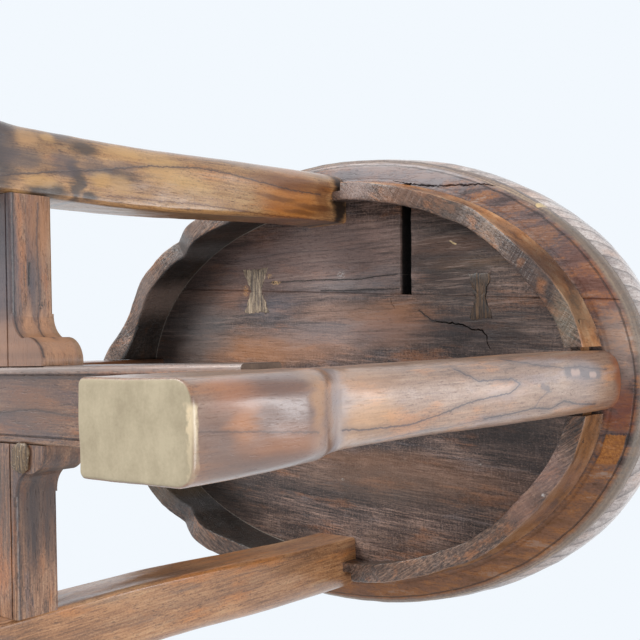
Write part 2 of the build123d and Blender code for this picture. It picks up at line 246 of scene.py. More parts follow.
def walk(corners, pace, jitter, seed):
    """Points every pace along a closed outline, each pushed off a little, as a rough cut leaves it."""
    draw = np.random.default_rng(seed)
    result = []
    for (x0, y0), (x1, y1) in zip(corners, corners[1:] + corners[:1]):
        count = max(1, int(math.hypot(x1 - x0, y1 - y0) / pace))
        for step in range(count):
            share = step / count
            off = draw.normal(0, jitter, 2)
            result.append((x0 + (x1 - x0) * share + off[0], y0 + (y1 - y0) * share + off[1]))
    return result


# Finishes


class Value:
    """A socket whose sums and products in Python add Math nodes."""

    def __init__(self, recipe, socket):
        self.recipe, self.socket = recipe, socket

    def maths(self, operation, *others):
        """One Math node on this value and the others."""
        return self.recipe.node("ShaderNodeMath", {"operation": operation}, dict(enumerate((self, *others))))

    def __add__(self, other):
        return self.maths("ADD", other)

    def __sub__(self, other):
        return self.maths("SUBTRACT", other)

    def __rsub__(self, other):
        return self.recipe.node("ShaderNodeMath", {"operation": "SUBTRACT"}, {0: other, 1: self})

    def __mul__(self, other):
        return self.maths("MULTIPLY", other)

    def __truediv__(self, other):
        return self.maths("DIVIDE", other)

    def __pow__(self, other):
        return self.maths("POWER", other)

    def __abs__(self):
        return self.maths("ABSOLUTE")

    __radd__, __rmul__ = __add__, __mul__


class Recipe:
    """The node tree of a material or of the world."""

    def __init__(self, owner):
        self.owner = owner
        owner.use_nodes = True
        self.tree = owner.node_tree
        self.tree.nodes.clear()

    def node(self, kind, settings, inputs, output=0):
        """Adds any node: settings first, then the values or links of its sockets."""
        node = self.tree.nodes.new(kind)
        for key, setting in settings.items():
            if key == "stops":
                ramp = node.color_ramp
                while len(ramp.elements) < len(setting):
                    ramp.elements.new(0.5)
                for element, (place, colour) in zip(ramp.elements, setting):
                    element.position = place
                    element.color = (*colour, 1)
            else:
                setattr(node, key, setting)
        for key, value in inputs.items():
            socket = node.inputs[key]
            if isinstance(value, Value):
                self.tree.links.new(value.socket, socket)
            elif socket.type == "RGBA" and len(value) == 3:
                socket.default_value = (*value, 1)
            else:
                socket.default_value = value
        return Value(self, node.outputs[output]) if node.outputs else None


class Finish(Recipe):
    """The recipe of one wood finish, in millimetres of the stool's own frame."""

    def __init__(self, name, level):
        super().__init__(bpy.data.materials.new(name))
        self.level = level
        place = self.node("ShaderNodeTexCoord", {}, {}, "Object")
        self.here = self.scaled(place, 1 / MM)
        self.normal = Value(self, place.socket.node.outputs["Normal"])

    def tint(self, *levels):
        """A display colour as this finish uses it."""
        return tuple(part * scale for part, scale in zip(srgb(*levels), self.level))

    def point(self, operation, a, b=(0, 0, 0), output=0):
        """A Vector Math node on two vectors."""
        return self.node("ShaderNodeVectorMath", {"operation": operation}, {0: a, 1: b}, output)

    def scaled(self, a, share):
        """A vector times a number."""
        return self.node("ShaderNodeVectorMath", {"operation": "SCALE"}, {0: a, "Scale": share})

    def dot(self, a, direction):
        """How far a point lies along one direction."""
        return self.point("DOT_PRODUCT", a, direction, "Value")

    def length(self, a):
        """Length of a vector."""
        return self.point("LENGTH", a, output="Value")

    def parts(self, a):
        """The three numbers of a vector."""
        first = self.node("ShaderNodeSeparateXYZ", {}, {0: a})
        return [Value(self, socket) for socket in first.socket.node.outputs]

    def vector(self, x, y, z=0.0):
        """A vector from three numbers."""
        return self.node("ShaderNodeCombineXYZ", {}, {0: x, 1: y, 2: z})

    def noise(self, where, detail=3.0, rough=0.55, output=0):
        """Noise from 0 to 1 with bumps about one unit wide."""
        return self.node("ShaderNodeTexNoise", {"noise_dimensions": "3D"},
                         {"Vector": where, "Scale": 1.0, "Detail": detail, "Roughness": rough}, output)

    def cloud(self, scale, detail=3.0, rough=0.55):
        """Noise over the stool, its bumps a share of a millimetre finer along each axis."""
        return self.noise(self.point("MULTIPLY", self.here, scale), detail, rough)

    def stir(self, where, scatter, reach):
        """A place pushed about by coloured noise."""
        return self.point("ADD", where, self.point("MULTIPLY", self.point("SUBTRACT", scatter, (0.5, 0.5, 0.5)), reach))

    def step(self, value, low, high):
        """Soft step from 0 at low to 1 at high."""
        return self.node("ShaderNodeMapRange", {"interpolation_type": "SMOOTHSTEP"},
                         {0: value, 1: low, 2: high, 3: 0.0, 4: 1.0})

    def mix(self, share, a, b, blend="MIX"):
        """A colour between two colours."""
        return self.node("ShaderNodeMix", {"data_type": "RGBA", "blend_type": blend, "clamp_factor": True},
                         {0: share, 6: a, 7: b}, 2)

    def lay(self, share, colour, tint):
        """A display colour laid over another colour."""
        return self.mix(share, colour, self.tint(*tint))

    def ramp(self, value, *stops):
        """A colour picked from a ramp of (place, display colour)."""
        stops = [(place, self.tint(*tint)) for place, tint in stops]
        return self.node("ShaderNodeValToRGB", {"stops": stops}, {0: value})

    def route(self, where, points):
        """Distance in millimetres to a drawn line through points."""
        nearest = None
        for start, end in zip(points, points[1:]):
            run = (end[0] - start[0], end[1] - start[1], 0)
            off = self.point("SUBTRACT", where, (*start, 0))
            share = self.node("ShaderNodeMath", {"operation": "MULTIPLY", "use_clamp": True},
                              {0: self.dot(off, run), 1: 1 / (run[0] ** 2 + run[1] ** 2)})
            gap = self.length(self.point("SUBTRACT", off, self.scaled(run, share)))
            nearest = gap if nearest is None else nearest.maths("MINIMUM", gap)
        return nearest

    def blob(self, where, x, y, wide, high, edge):
        """1 inside an oval patch, fading to 0 past its edge."""
        off = self.point("MULTIPLY", self.point("SUBTRACT", where, (x, y, 0)), (1 / wide, 1 / high, 1e-6))
        return self.step(self.length(off), 1.0 + edge, 1.0 - edge)

    def finish(self, colour, roughness, height, bump, depth, coat, specular):
        """Joins colour, roughness and bump to the shader, and returns the material."""
        relief = self.node("ShaderNodeBump", {}, {"Strength": bump, "Distance": depth * MM, "Height": height})
        shader = self.node("ShaderNodeBsdfPrincipled", {}, {
            "Base Color": colour, "Roughness": roughness, "Normal": relief, "Specular IOR Level": specular,
            "Coat Weight": coat, "Coat Roughness": 0.25})
        self.node("ShaderNodeOutputMaterial", {}, {"Surface": shader})
        return self.owner


def srgb(*levels):
    """Turns 0 to 255 display levels into the linear colour a shader takes."""
    return tuple(((level / 255 + 0.055) / 1.055) ** 2.4 if level > 10 else level / 255 / 12.92 for level in levels)


def chosen(key, level=(1, 1, 1)):
    """The colour that the user sets over a wood, times the finish's own level."""
    return tuple(a * b for a, b in zip(getattr(bpy.context.scene.stool, key), level))


def timber(name, along, across, tones, layers=(), rings=None, fibre=0.6, dashes=0.4, grit=0.3, roughness=0.4,
           gloss=0.2, specular=0.5, coat=0.2, bump=0.4, depth=0.35, relief=None, marks=None, ends=None, shift=0.0,
           level=(1, 1, 1)):
    """Stained and oiled hardwood with its grain along one direction.

    tones: dark, body and light display colours. layers: (colour, length, width, low, high, strength, seed).
    rings: (pith, spacing, waver, colour, strength) draws figure lines. level scales every colour.
    """
    make = Finish(name, level)
    up = tuple(np.cross(along, across))
    where = make.point("ADD", make.here, (shift, shift * 0.7, shift * 1.3))
    u, v, w = make.dot(where, along), make.dot(where, across), make.dot(where, up)
    hair = make.noise(make.vector(u * 0.036, v * 0.8, w * 0.8), 4.0, 0.65)
    dash = make.noise(make.vector(u * 0.17, v * 1.15, w * 1.15), 1.0)
    bloom = make.noise(make.vector(u * 0.016, v * 0.05, w * 0.05), 3.0, 0.6)
    tone = (hair - 0.5) * (2 * fibre) + (bloom - 0.5) * 0.9 + 0.5
    dark, body, light = tones
    colour = make.ramp(tone, (0.12, dark), (0.5, body), (0.88, light))
    for tint, length, width, low, high, strength, seed in layers:
        spot = make.point("ADD", make.vector(u / length, v / width, w / width), (seed * 3.1, seed * 1.7, seed))
        patch = make.noise(spot, 4.0, 0.6) + (hair - 0.5) * 0.3
        colour = make.lay(make.step(patch, low, high) * strength, colour, tint)
    height = hair * 0.8
    if rings:
        pith, spacing, waver, tint, strength = rings
        bend = make.noise(make.vector(u * 0.009, v * 0.02, w * 0.02), 2.0)
        fine = make.noise(make.vector(u * 0.04, v * 0.1, w * 0.1), 3.0)
        reach = make.length(make.vector(v - pith[0], w - pith[1]))
        reach = reach + (bend - 0.5) * (waver * 4) + (fine - 0.5) * (waver * 0.6)
        turn = (reach / spacing).maths("FRACT")
        late = (turn ** 4.0) * (1.0 - make.step(turn, 0.93, 1.0))
        colour = make.lay(late * strength, colour, tint)
        height = height - late * 0.3
    pore = make.step(dash, 0.6, 0.72)
    colour = make.lay(pore * dashes, colour, dark)
    sand = make.noise(make.vector(u * 0.6, v * 1.0, w * 1.0), 2.0, 0.75)
    colour = make.lay(make.step(sand, 0.52, 0.68) * grit, colour, dark)
    colour = make.lay(make.step(sand, 0.46, 0.3) * (grit * 0.7), colour, light)
    height = height - pore * 0.8
    shine = (hair - 0.5) * gloss + pore * 0.15 + roughness
    varnish = coat
    if relief:
        height = relief(make, height, u, v, w)
    if ends:
        low_tone, high_tone, rough = ends
        facing = make.step(abs(make.dot(make.normal, along)), 0.75, 0.93)
        specks = make.cloud((0.8, 0.8, 0.8), 3.0, 0.6)
        smear = make.cloud((0.08, 0.05, 0.05), 3.0, 0.6)
        colour = make.mix(facing, colour, make.ramp(smear * 0.75 + specks * 0.25, (0.35, low_tone), (0.62, high_tone)))
        height = height * (1.0 - facing) + specks * facing * 0.25
        shine = shine * (1.0 - facing) + facing * rough
        varnish = (1.0 - facing) * coat
    if marks:
        colour, height, shine = marks(make, colour, height, shine)
    return make.finish(colour, shine, height, bump, depth, varnish, specular)


def drawn_marks(patches=(), lines=(), flecks=(), plane=(0, 1), drift=(30.0, 10.0), ragged=1.2, grain=0.03, edge=0.7,
          facing=None):
    """Marks drawn at places on a flat side: stained patches, lines such as cracks or figure, and chips; some patches
    and lines are painted shade and painted highlights.

    patches: (x, y, half width, half height, red, green, blue, strength). flecks: the same without the strength.
    lines: (points, half width, halo, colour, strength, depth). drift: how far patch edges wander along and
    across the grain. ragged: how far lines wander. facing: the side that the marks keep to.
    """
    def draw(make, colour, height, shine):
        parts = make.parts(make.here)
        p, q = parts[plane[0]], parts[plane[1]]
        flat = make.vector(p, q)
        plain = colour
        if patches:
            sway = make.noise(make.vector(p * grain, q * grain * drift[0] / drift[1]), 4.0, 0.62, "Color")
            swept = make.stir(flat, sway, (drift[0] * 2, drift[1] * 2, 0))
        for x, y, wide, high, *tint, strength in patches:
            colour = make.lay(make.blob(swept, x, y, wide, high, edge) * strength, colour, tint)
        if lines or flecks:
            jag = make.noise(make.scaled(flat, 0.25), 3.0, 0.6, "Color")
            bent = make.stir(flat, jag, (ragged * 2, ragged * 2, 0))
        for points, width, halo, tint, strength, depth in lines:
            gap = make.route(bent, points)
            if halo:
                colour = make.lay(make.step(gap, halo, width) * (strength * 0.4), colour, tint)
            line = make.step(gap, width * 1.3, width * 0.4)
            colour = make.lay(line * strength, colour, tint)
            if depth:
                height = height - line * depth
        if flecks:
            crumbs = make.step(make.noise(make.scaled(flat, 0.7), 2.0), 0.45, 0.55)
        for x, y, wide, high, *tint in flecks:
            colour = make.lay(make.blob(bent, x, y, wide, high, 0.35) * crumbs, colour, tint)
        if facing:
            colour = make.mix(make.step(make.dot(make.normal, facing), 0.15, 0.45), plain, colour)
        return colour, height, shine
    return draw


# Marks on the underside of the seat, in the plane of its boards
# Among these, the near-black patches by the aprons and right of the slot are painted shadow, and the pale bluish-grey
# ones are painted sheen.
BOARD_PATCHES = [
    (-40, -98, 105, 26, 136, 108, 100, 0.6), (30, -78, 50, 9, 146, 138, 138, 0.6),
    (-130, -72, 40, 12, 158, 104, 70, 0.5), (-80, -27, 88, 13, 172, 116, 72, 0.6),
    (60, -44, 34, 14, 184, 122, 76, 0.7), (25, -55, 55, 7, 150, 106, 74, 0.5), (-66, -62, 30, 9, 96, 100, 112, 0.4),
    (20, -38, 90, 9, 112, 110, 114, 0.4), (145, -36, 55, 20, 40, 34, 34, 0.75), (120, -66, 34, 12, 46, 40, 38, 0.7),
    (118, -98, 42, 26, 40, 30, 27, 0.8), (130, -84, 30, 5, 120, 92, 70, 0.5), (-170, -30, 44, 55, 40, 36, 36, 0.7),
    (60, 74, 90, 14, 130, 88, 58, 0.45), (40, 92, 110, 8, 44, 34, 30, 0.5), (155, 24, 40, 30, 30, 26, 26, 0.75),
    (-150, 95, 60, 30, 34, 28, 24, 0.7), (-30, 60, 110, 6, 120, 84, 58, 0.4), (16, -108, 56, 16, 148, 124, 116, 0.45),
    (106, -88, 24, 22, 50, 30, 22, 0.5), (130, -100, 50, 5, 96, 66, 50, 0.5), (112, -80, 30, 3, 24, 18, 16, 0.6),
    (40, 80, 90, 12, 74, 68, 64, 0.35), (-145, -50, 34, 26, 124, 116, 114, 0.5),
    (0, -42, 64, 22, 170, 152, 150, 0.22),
]
BOARD_LINES = [
    ([(-62, -82.5), (-34, -82), (-9, -81.4), (14, -80.2), (32, -79.4), (50, -80.6),
      (67, -81)], 0.32, 1.6, (22, 16, 16), 0.9, 2.0),
    ([(-8, -72.6), (10, -71.4), (31, -71), (50, -70.2), (68, -70)], 0.4, 1.8, (24, 18, 18), 0.8, 1.5),
    ([(-150, -108), (-100, -104), (-40, -107), (20, -104), (60, -106)], 0.4, 2.4, (48, 44, 50), 0.35, 0.3),
    ([(-120, -96), (-70, -94), (-20, -97), (40, -92), (66, -93)], 0.4, 2.4, (50, 44, 50), 0.3, 0.3),
    ([(86, -52), (98, -44), (112, -42), (123, -40)], 0.5, 2.0, (24, 18, 18), 0.8, 1.5),
    ([(115.2, -102.4), (117, -101.2), (119.6, -99.8)], 0.7, 0, (214, 188, 140), 0.9, -0.5),
]
BOARD_FLECKS = [
    (13, -84, 4, 3, 176, 166, 162), (-57, -82, 5, 1.6, 206, 168, 120), (-92, -77, 3, 5, 196, 146, 100),
    (9, 80, 1.4, 1, 150, 140, 132), (134, 61, 1.4, 1, 150, 140, 132), (-64, -88, 3, 2, 188, 150, 108),
]
# Stains on the rim outside the aprons: x, y, half width, half height, edge, strength, colour
RIM_STAINS = [
    (80, -160, 90, 22, 0.4, 0.72, (152, 148, 152)), (182, -108, 46, 34, 0.6, 0.45, (92, 74, 74)),
    (226, -66, 26, 26, 0.6, 0.45, (118, 64, 40)), (236, -14, 14, 30, 0.5, 0.55, (166, 148, 138)),
]


def board_marks(make, colour, height, shine):
    """Everything drawn on the seat boards: stains, painted sheen, cracks, painted shadow by the aprons and painted
    shade in recesses inside, and worn bands on the rim outside the aprons, partly painted shade.
    """
    x, y, z = make.parts(make.here)
    saw = make.cloud((0.8, 0.07, 1.0), 2.0, 0.7)
    colour = make.lay(make.step(saw, 0.55, 0.7) * 0.35, colour, (30, 23, 23))
    colour = make.lay(make.step(saw, 0.45, 0.32) * 0.22, colour, (150, 132, 126))
    inner = drawn_marks(BOARD_PATCHES, BOARD_LINES, BOARD_FLECKS, drift=(34.0, 9.0), ragged=0.9)
    colour, height, shine = inner(make, colour, height, shine)
    streaks = make.noise(make.vector(x * 0.014, y * 0.3, 7.0), 4.0, 0.72)
    front = make.step(y, -5.0, -50.0)
    colour = make.lay(make.step(streaks, 0.52, 0.64) * front * 0.5, colour, (40, 33, 34))
    colour = make.lay(make.step(streaks, 0.47, 0.35) * front * 0.4, colour, (160, 138, 128))

    # How far out a place is from the edge of the boards, in millimetres, negative inside
    wander = make.cloud((0.05, 0.05, 0.0), 3.0, 0.6)
    fine = make.cloud((0.5, 0.5, 0.0), 3.0, 0.7)
    fray = (fine - 0.5) * 5.0
    reach = (make.length(make.vector(x / BOARD_HALF[0], y / BOARD_HALF[1])) - 1.0) * 215.0 + (wander - 0.5) * 2.5
    rim = make.step(reach, -24.0, -20.0)
    rim_tone = make.noise(make.vector(x * 0.03, y * 0.12, 3.0), 4.0, 0.65)
    shake = make.noise(make.vector(x * 0.09, y * 0.09, 5.0), 2.0, 0.5, "Color")
    shaken = make.stir(make.vector(x, y), shake, (26, 26, 0))
    rust = make.ramp(rim_tone + (fine - 0.5) * 0.3,
                     (0.36, (48, 38, 38)), (0.47, (106, 84, 80)), (0.58, (160, 106, 64)), (0.7, (172, 150, 138)))
    colour = make.mix(rim * 0.88, colour, rust)
    for *patch, strength, tint in RIM_STAINS:
        colour = make.lay(make.blob(shaken, *patch) * rim * strength, colour, tint)
    colour = make.lay(make.step(y, 40.0, 90.0) * rim * 0.45, colour, (160, 104, 52))
    groove = make.step(abs(reach + 19.5), 1.5, 0.4)
    colour = make.lay(groove * 0.2, colour, (40, 28, 24))
    # Oval through the roots of the aprons' inner walls: a pale line follows it on the left, and painted shadow lies
    # inside it.
    root_oval = make.length(make.vector(x / 213.0, y / 141.0))
    dusty = make.step(abs((root_oval - 1.0) * 177.0 + (fine - 0.5) * 2.0), 1.0, 0.3) * make.step(x, -20.0, -60.0)
    colour = make.lay(dusty * 0.9, colour, (168, 158, 148))
    # Painted shadow of the left aprons, laid on the boards just inside them.
    shade = make.step(root_oval, 0.72, 0.93) * make.step(x, -60.0, -130.0) * (1.0 - rim)
    colour = make.lay(shade * 0.6, colour, (22, 19, 18))
    orange = make.step(reach, -19.0, -18.5) * make.step(reach, -7.0, -8.0)
    orange = orange * make.step(y + fray, 35.5, 36.5) * make.step(y + fray, 56.0, 54.5)
    colour = make.mix(orange * 0.8, colour, make.ramp(fine, (0.35, (150, 88, 34)), (0.65, (202, 134, 62))))
    colour = make.lay(make.blob(shaken, 240, 20, 8, 16, 0.6) * 0.6, colour, (128, 62, 38))
    streak = make.noise(make.vector(reach * 0.9, make.dot(shaken, (0.01, 0.01, 0.0))), 2.0, 0.6)
    worn = make.ramp(streak + (fine - 0.5) * 0.4, (0.3, (84, 74, 68)), (0.5, (140, 122, 112)), (0.7, (196, 172, 144)))
    # The grey laid past x 178 is painted shade on the boards' outer bevel; the rest of the band is wear.
    worn = make.lay(make.step(x, 178.0, 206.0) * 0.75, worn, (124, 112, 100))
    colour = make.mix(make.step(reach, -5.5, -2.5) * 0.85, colour, worn)
    colour = make.lay(make.blob(shaken, 190, -122, 8, 4, 0.2) * 0.9, colour, (224, 196, 146))
    # Painted shade: the walls of cracks and of the slot, above the underside, are painted near black.
    inside = make.step(z, UNDERSIDE + 1.2, UNDERSIDE + 3.5) * make.step(reach, -20.0, -24.0)
    colour = make.lay(inside * 0.95, colour, (10, 8, 8))
    line = make.step(abs(reach + 6.5), 0.9, 0.3)
    colour = make.lay(line * 0.6, colour, (30, 24, 24))
    colour = make.lay(make.step(fine, 0.66, 0.74) * 0.25, colour, (170, 156, 146))
    return colour, height - groove * 0.4 - line * 0.8, shine


def slab_marks(make, colour, height, shine):
    """Side painted paler and bluer below a darker top as a sheen, and an underside painted near black as shade, which
    shows only through the slot.
    """
    z = make.parts(make.here)[2]
    uneven = make.cloud((0.03, 0.03, 0.08), 3.0, 0.6)
    # The side below the top is painted paler and bluer: a painted sheen.
    side = make.step(z + (uneven - 0.5) * 8.0, SEAT_TOP - 1.0, SEAT_TOP - 12.0)
    colour = make.mix(side, colour, make.mix(1.0, colour, (1.7, 2.15, 2.55), "MULTIPLY"))
    # The slab's underside is painted near black: painted shade down the slot.
    return make.lay(make.step(z, BOARD_TOP + 0.6, BOARD_TOP + 0.1), colour, (8, 7, 7)), height, shine


def slab_finish():
    """Polished brown seat with long dark figure, and a pale sheen painted round its side."""
    return timber(
        "seat_wood", (1, 0, 0), (0, 1, 0), ((96, 76, 66), (160, 134, 120), (190, 166, 150)),
        [((150, 100, 70), 90, 24, 0.5, 0.66, 0.4, 4), ((96, 76, 70), 120, 9, 0.56, 0.7, 0.5, 5)],
        rings=((20.0, 330.0), 8.0, 4.5, (44, 35, 34), 0.75), fibre=0.55, dashes=0.5, roughness=0.34, coat=0.5,
        marks=slab_marks, level=chosen("seat_stain"))


def board_finish(name, shift):
    """Stained, streaky underside timber."""
    along, across = math.cos(JOINT_SLANT), math.sin(JOINT_SLANT)
    return timber(
        name, (along, across, 0), (-across, along, 0), ((29, 22, 21), (99, 81, 75), (164, 136, 121)),
        [((158, 100, 58), 60, 16, 0.52, 0.68, 0.55, 1), ((36, 30, 32), 70, 18, 0.5, 0.66, 0.7, 2),
         ((120, 116, 120), 40, 5, 0.56, 0.72, 0.35, 3)],
        fibre=0.95, dashes=0.55, grit=0.75, roughness=0.42, gloss=0.3, specular=0.3, coat=0.3, bump=0.9,
        marks=board_marks, shift=shift, level=chosen("board_stain"))


def key_finish(name, seed):
    """Pale straight timber of the left key, or the dark one of the right key."""
    pale = "left" in name
    return timber(
        name, (0, 1, 0), (1, 0, 0), ((36, 28, 22), (134, 110, 80), (206, 174, 126)),
        [((64, 54, 48), 30, 5, 0.5, 0.66, 0.6, seed)], fibre=1.0 if pale else 1.5, dashes=0.6, roughness=0.55,
        gloss=0.3, coat=0.1, bump=1.0, shift=seed,
        level=chosen("key_stain", (1.3, 1.5, 2.1) if pale else (0.24, 0.19, 0.18)))


def leg_finish(name, angle, tones, layers, rings=None, marks=None):
    """Oiled and polished leg timber, grain along the leg, with a bare end-grain foot."""
    across = (math.cos(math.radians(angle + 90)), math.sin(math.radians(angle + 90)), 0)
    return timber(
        name, (0, 0, 1), across, tones, layers, rings, fibre=0.55, dashes=0.6, grit=0.42, roughness=0.3, gloss=0.1,
        coat=0.6, bump=0.3, marks=marks, ends=((166, 152, 126), (190, 176, 148), 0.85), shift=angle * 0.9 + 11,
        level=chosen("leg_stain"))


def apron_finish(name, side_x, side_y):
    """Hand-worked wall timber: tool marks across the grain, an oiled orange outer side and an inner side painted dark
    as shade.
    """
    run = np.array([-side_x * 200.0, side_y * 130.0, 0])
    run /= np.linalg.norm(run)

    def worked(make, height, u, v, w):
        strokes = make.noise(make.vector(u * 0.45, v * 0.03, w * 0.05), 2.0)
        return height + strokes * 1.6 + make.cloud((0.16, 0.16, 0.16)) * 1.2

    def sides(make, colour, height, shine):
        outward = make.point("MULTIPLY", make.here, (1 / APRON_HALF[0] ** 2, 1 / APRON_HALF[1] ** 2, 0))
        face = make.dot(make.normal, make.point("NORMALIZE", outward))
        patch = make.cloud((0.05, 0.05, 0.09), 4.0, 0.6)
        oil = ((66, 48, 38), (138, 92, 52), (160, 120, 88))
        if side_y < 0:
            oil = ((100, 68, 50), (190, 130, 82), (218, 176, 134))
        colour = make.mix(make.step(face, 0.3, 0.75) * 0.9, colour, make.ramp(patch, *zip((0.3, 0.5, 0.7), oil)))
        # The inner side is painted near black as shade, more strongly on the left aprons.
        inner_shade = make.ramp(patch, (0.35, (8, 8, 7)), (0.75, (32, 27, 23)))
        colour = make.mix(make.step(face * -1.0, 0.3, 0.75) * (0.9 if side_x < 0 else 0.5), colour, inner_shade)
        return drawn_marks(APRON_PATCHES[side_x, side_y], drift=(7.0, 5.0), grain=0.07)(make, colour, height, shine)

    return timber(
        name, tuple(run), (-run[1], run[0], 0), ((30, 21, 19), (88, 66, 55), (146, 117, 98)),
        [((166, 108, 66), 30, 10, 0.52, 0.68, 0.6, 6), ((40, 32, 32), 24, 8, 0.54, 0.68, 0.6, 7),
         ((140, 132, 130), 16, 8, 0.58, 0.7, 0.15 if side_x > 0 else 0.35, 8)],
        fibre=1.1, dashes=0.5, grit=0.55, roughness=0.42, coat=0.3 if side_x > 0 else 0.12, bump=0.9, depth=0.6,
        relief=worked, marks=sides, shift=13.0 * side_x + 7.0 * side_y, level=chosen("apron_stain"))


# Marks on the aprons, seen from below, by the side that each apron is on
APRON_PATCHES = {
    (1, -1): [
        (46, -146, 18, 9, 162, 142, 136, 0.6), (94, -136, 26, 8, 124, 92, 74, 0.6),
        # The grey patch at x 128 is painted light on a lit facet of the scallop, and the pale one at x 160 a painted
        # highlight on its cusp.
        (128, -122, 13, 9, 92, 78, 70, 0.6), (160, -104, 9, 9, 150, 126, 108, 0.4),
        (190, -74, 22, 24, 56, 42, 38, 0.8), (214, -42, 9, 16, 104, 98, 84, 0.6),
        (198, -63, 2.5, 4, 150, 96, 56, 0.6), (185, -80, 2.5, 3, 140, 92, 56, 0.5), (203, -55, 2, 5, 30, 22, 20, 0.7)],
    (1, 1): [
        (197, 58, 14, 14, 142, 110, 100, 0.5), (178, 82, 14, 14, 150, 112, 96, 0.5),
        (197, 74, 1, 1, 190, 182, 178, 0.8)],
    (-1, -1): [
        (-126, -120, 14, 12, 98, 94, 92, 0.7), (-104, -132, 14, 8, 128, 104, 90, 0.5),
        (-180, -80, 14, 26, 138, 118, 108, 0.5)],
    (-1, 1): [
        (-136, 107, 12, 10, 78, 76, 76, 0.7), (-165, 98, 20, 10, 110, 94, 74, 0.5)],
}


def rail_finish(name, along, across, shift, marks):
    """Worn orange-brown rail timber."""
    return timber(
        name, along, across, ((58, 42, 36), (146, 106, 80), (196, 156, 124)),
        [((176, 106, 52), 60, 14, 0.5, 0.64, 0.65, 1), ((74, 70, 80), 60, 9, 0.54, 0.66, 0.65, 2),
         ((40, 33, 32), 34, 6, 0.56, 0.68, 0.6, 9)],
        fibre=0.8, dashes=0.6, grit=0.6, coat=0.35, bump=0.8, marks=marks, shift=shift,
        ends=((96, 78, 66), (140, 116, 98), 0.7), level=chosen("rail_stain"))


def worn_foot(base):
    """Adds the pale torn edge of the nearest foot to its other marks."""
    def draw(make, colour, height, shine):
        colour, height, shine = base(make, colour, height, shine)
        x, y, z = make.parts(make.here)
        tear = make.cloud((0.3, 0.22, 0.3), 3.0, 0.6)
        edge = make.step(x + (tear - 0.5) * 8.0, 242.5, 244.5) * make.step(z + (tear - 0.5) * 4.0, 2.6, 0.8)
        band = make.step(y, -11.0, -8.0) * (make.step(y + tear * 8.0, 14.0, -2.0) * 0.6 + 0.3)
        return make.lay(edge * band, colour, (230, 208, 172)), height, shine
    return draw


def painted_shade_top(make, colour, height, shine):
    """Painted shade, near black, on the far leg where it meets the seat."""
    z = make.parts(make.here)[2]
    return make.lay(make.step(z, 290.0, 370.0) * 0.85, colour, (24, 17, 13)), height, shine


# Marks on the outer face of the nearest leg: Y and Z
NEAR_LEG_PATCHES = [
    (1, 38, 18, 52, 100, 68, 55, 0.78), (-14, 44, 5, 18, 92, 52, 38, 0.6), (-14, 20, 8, 12, 186, 112, 62, 0.4),
    (0, 24, 6, 7, 200, 126, 62, 0.5), (-8, 66, 14, 6, 196, 136, 66, 0.4), (8, 46, 6, 18, 172, 112, 70, 0.45),
    # The grey-blue band at height 94 is a painted reflection of the pale room on the collar.
    (15, 40, 4, 44, 88, 72, 68, 0.55), (10, 14, 8, 14, 120, 98, 88, 0.5), (0, 94, 60, 7.5, 134, 128, 132, 0.75),
    (4, 118, 9, 22, 216, 164, 112, 0.45), (-12, 116, 6, 24, 206, 158, 120, 0.4),
    # The dark orange band at height 389 is painted shade and reflection where the leg meets the seat.
    (0, 232, 3.5, 26, 206, 172, 152, 0.5), (-8, 333, 7, 18, 128, 116, 118, 0.6), (0, 389, 22, 9, 150, 84, 44, 0.85),
]
NEAR_LEG_LINES = [
    ([(-14.2, 195), (-7.5, 212.8), (-7, 246.6), (-3.9, 254.6), (0.4, 243.8), (1.6, 219.5), (3, 200.9), (6.4, 179.5),
      (9.9, 151.8), (9.2, 116.2), (7.7, 98.3)], 0.45, 3.4, (66, 56, 62), 0.75, 0.0),
    ([(12.4, 219.4), (11.8, 247.2), (10.3, 271.4), (12.2, 290.5), (8.5, 305.6), (11.6, 325.2),
      (13.3, 352.2)], 0.5, 3.2, (62, 52, 54), 0.8, 0.0),
    ([(12.4, 219.4), (14, 190), (14.5, 160), (15.5, 130)], 0.4, 2.4, (84, 74, 76), 0.5, 0.0),
    ([(10.3, 271.4), (6.0, 276), (2.5, 284), (1.5, 290)], 0.4, 2.4, (84, 74, 76), 0.5, 0.0),
    ([(-17.6, 249.3), (-13.4, 278.2), (-11.5, 300), (-10.5, 312), (-11, 330), (-9, 346),
      (-7.8, 366)], 0.4, 2.6, (70, 60, 64), 0.7, 0.0),
    ([(-0.4, 2.4), (2, 30), (5.2, 65.5)], 0.4, 2.4, (72, 50, 44), 0.55, 0.0),
    ([(-8.4, 311), (-7.6, 330), (-5.6, 336), (-5.1, 353)], 3.2, 5.5, (100, 88, 88), 0.7, 0.0),
    ([(-7.5, 318), (-7.4, 326)], 2.4, 0, (176, 146, 132), 0.9, 0.0),
    ([(-5.4, 342), (-5.1, 348)], 2.0, 0, (172, 142, 128), 0.9, 0.0),
    ([(-1.5, 279), (0.5, 286)], 1.8, 4.0, (104, 90, 90), 0.7, 0.0),
]
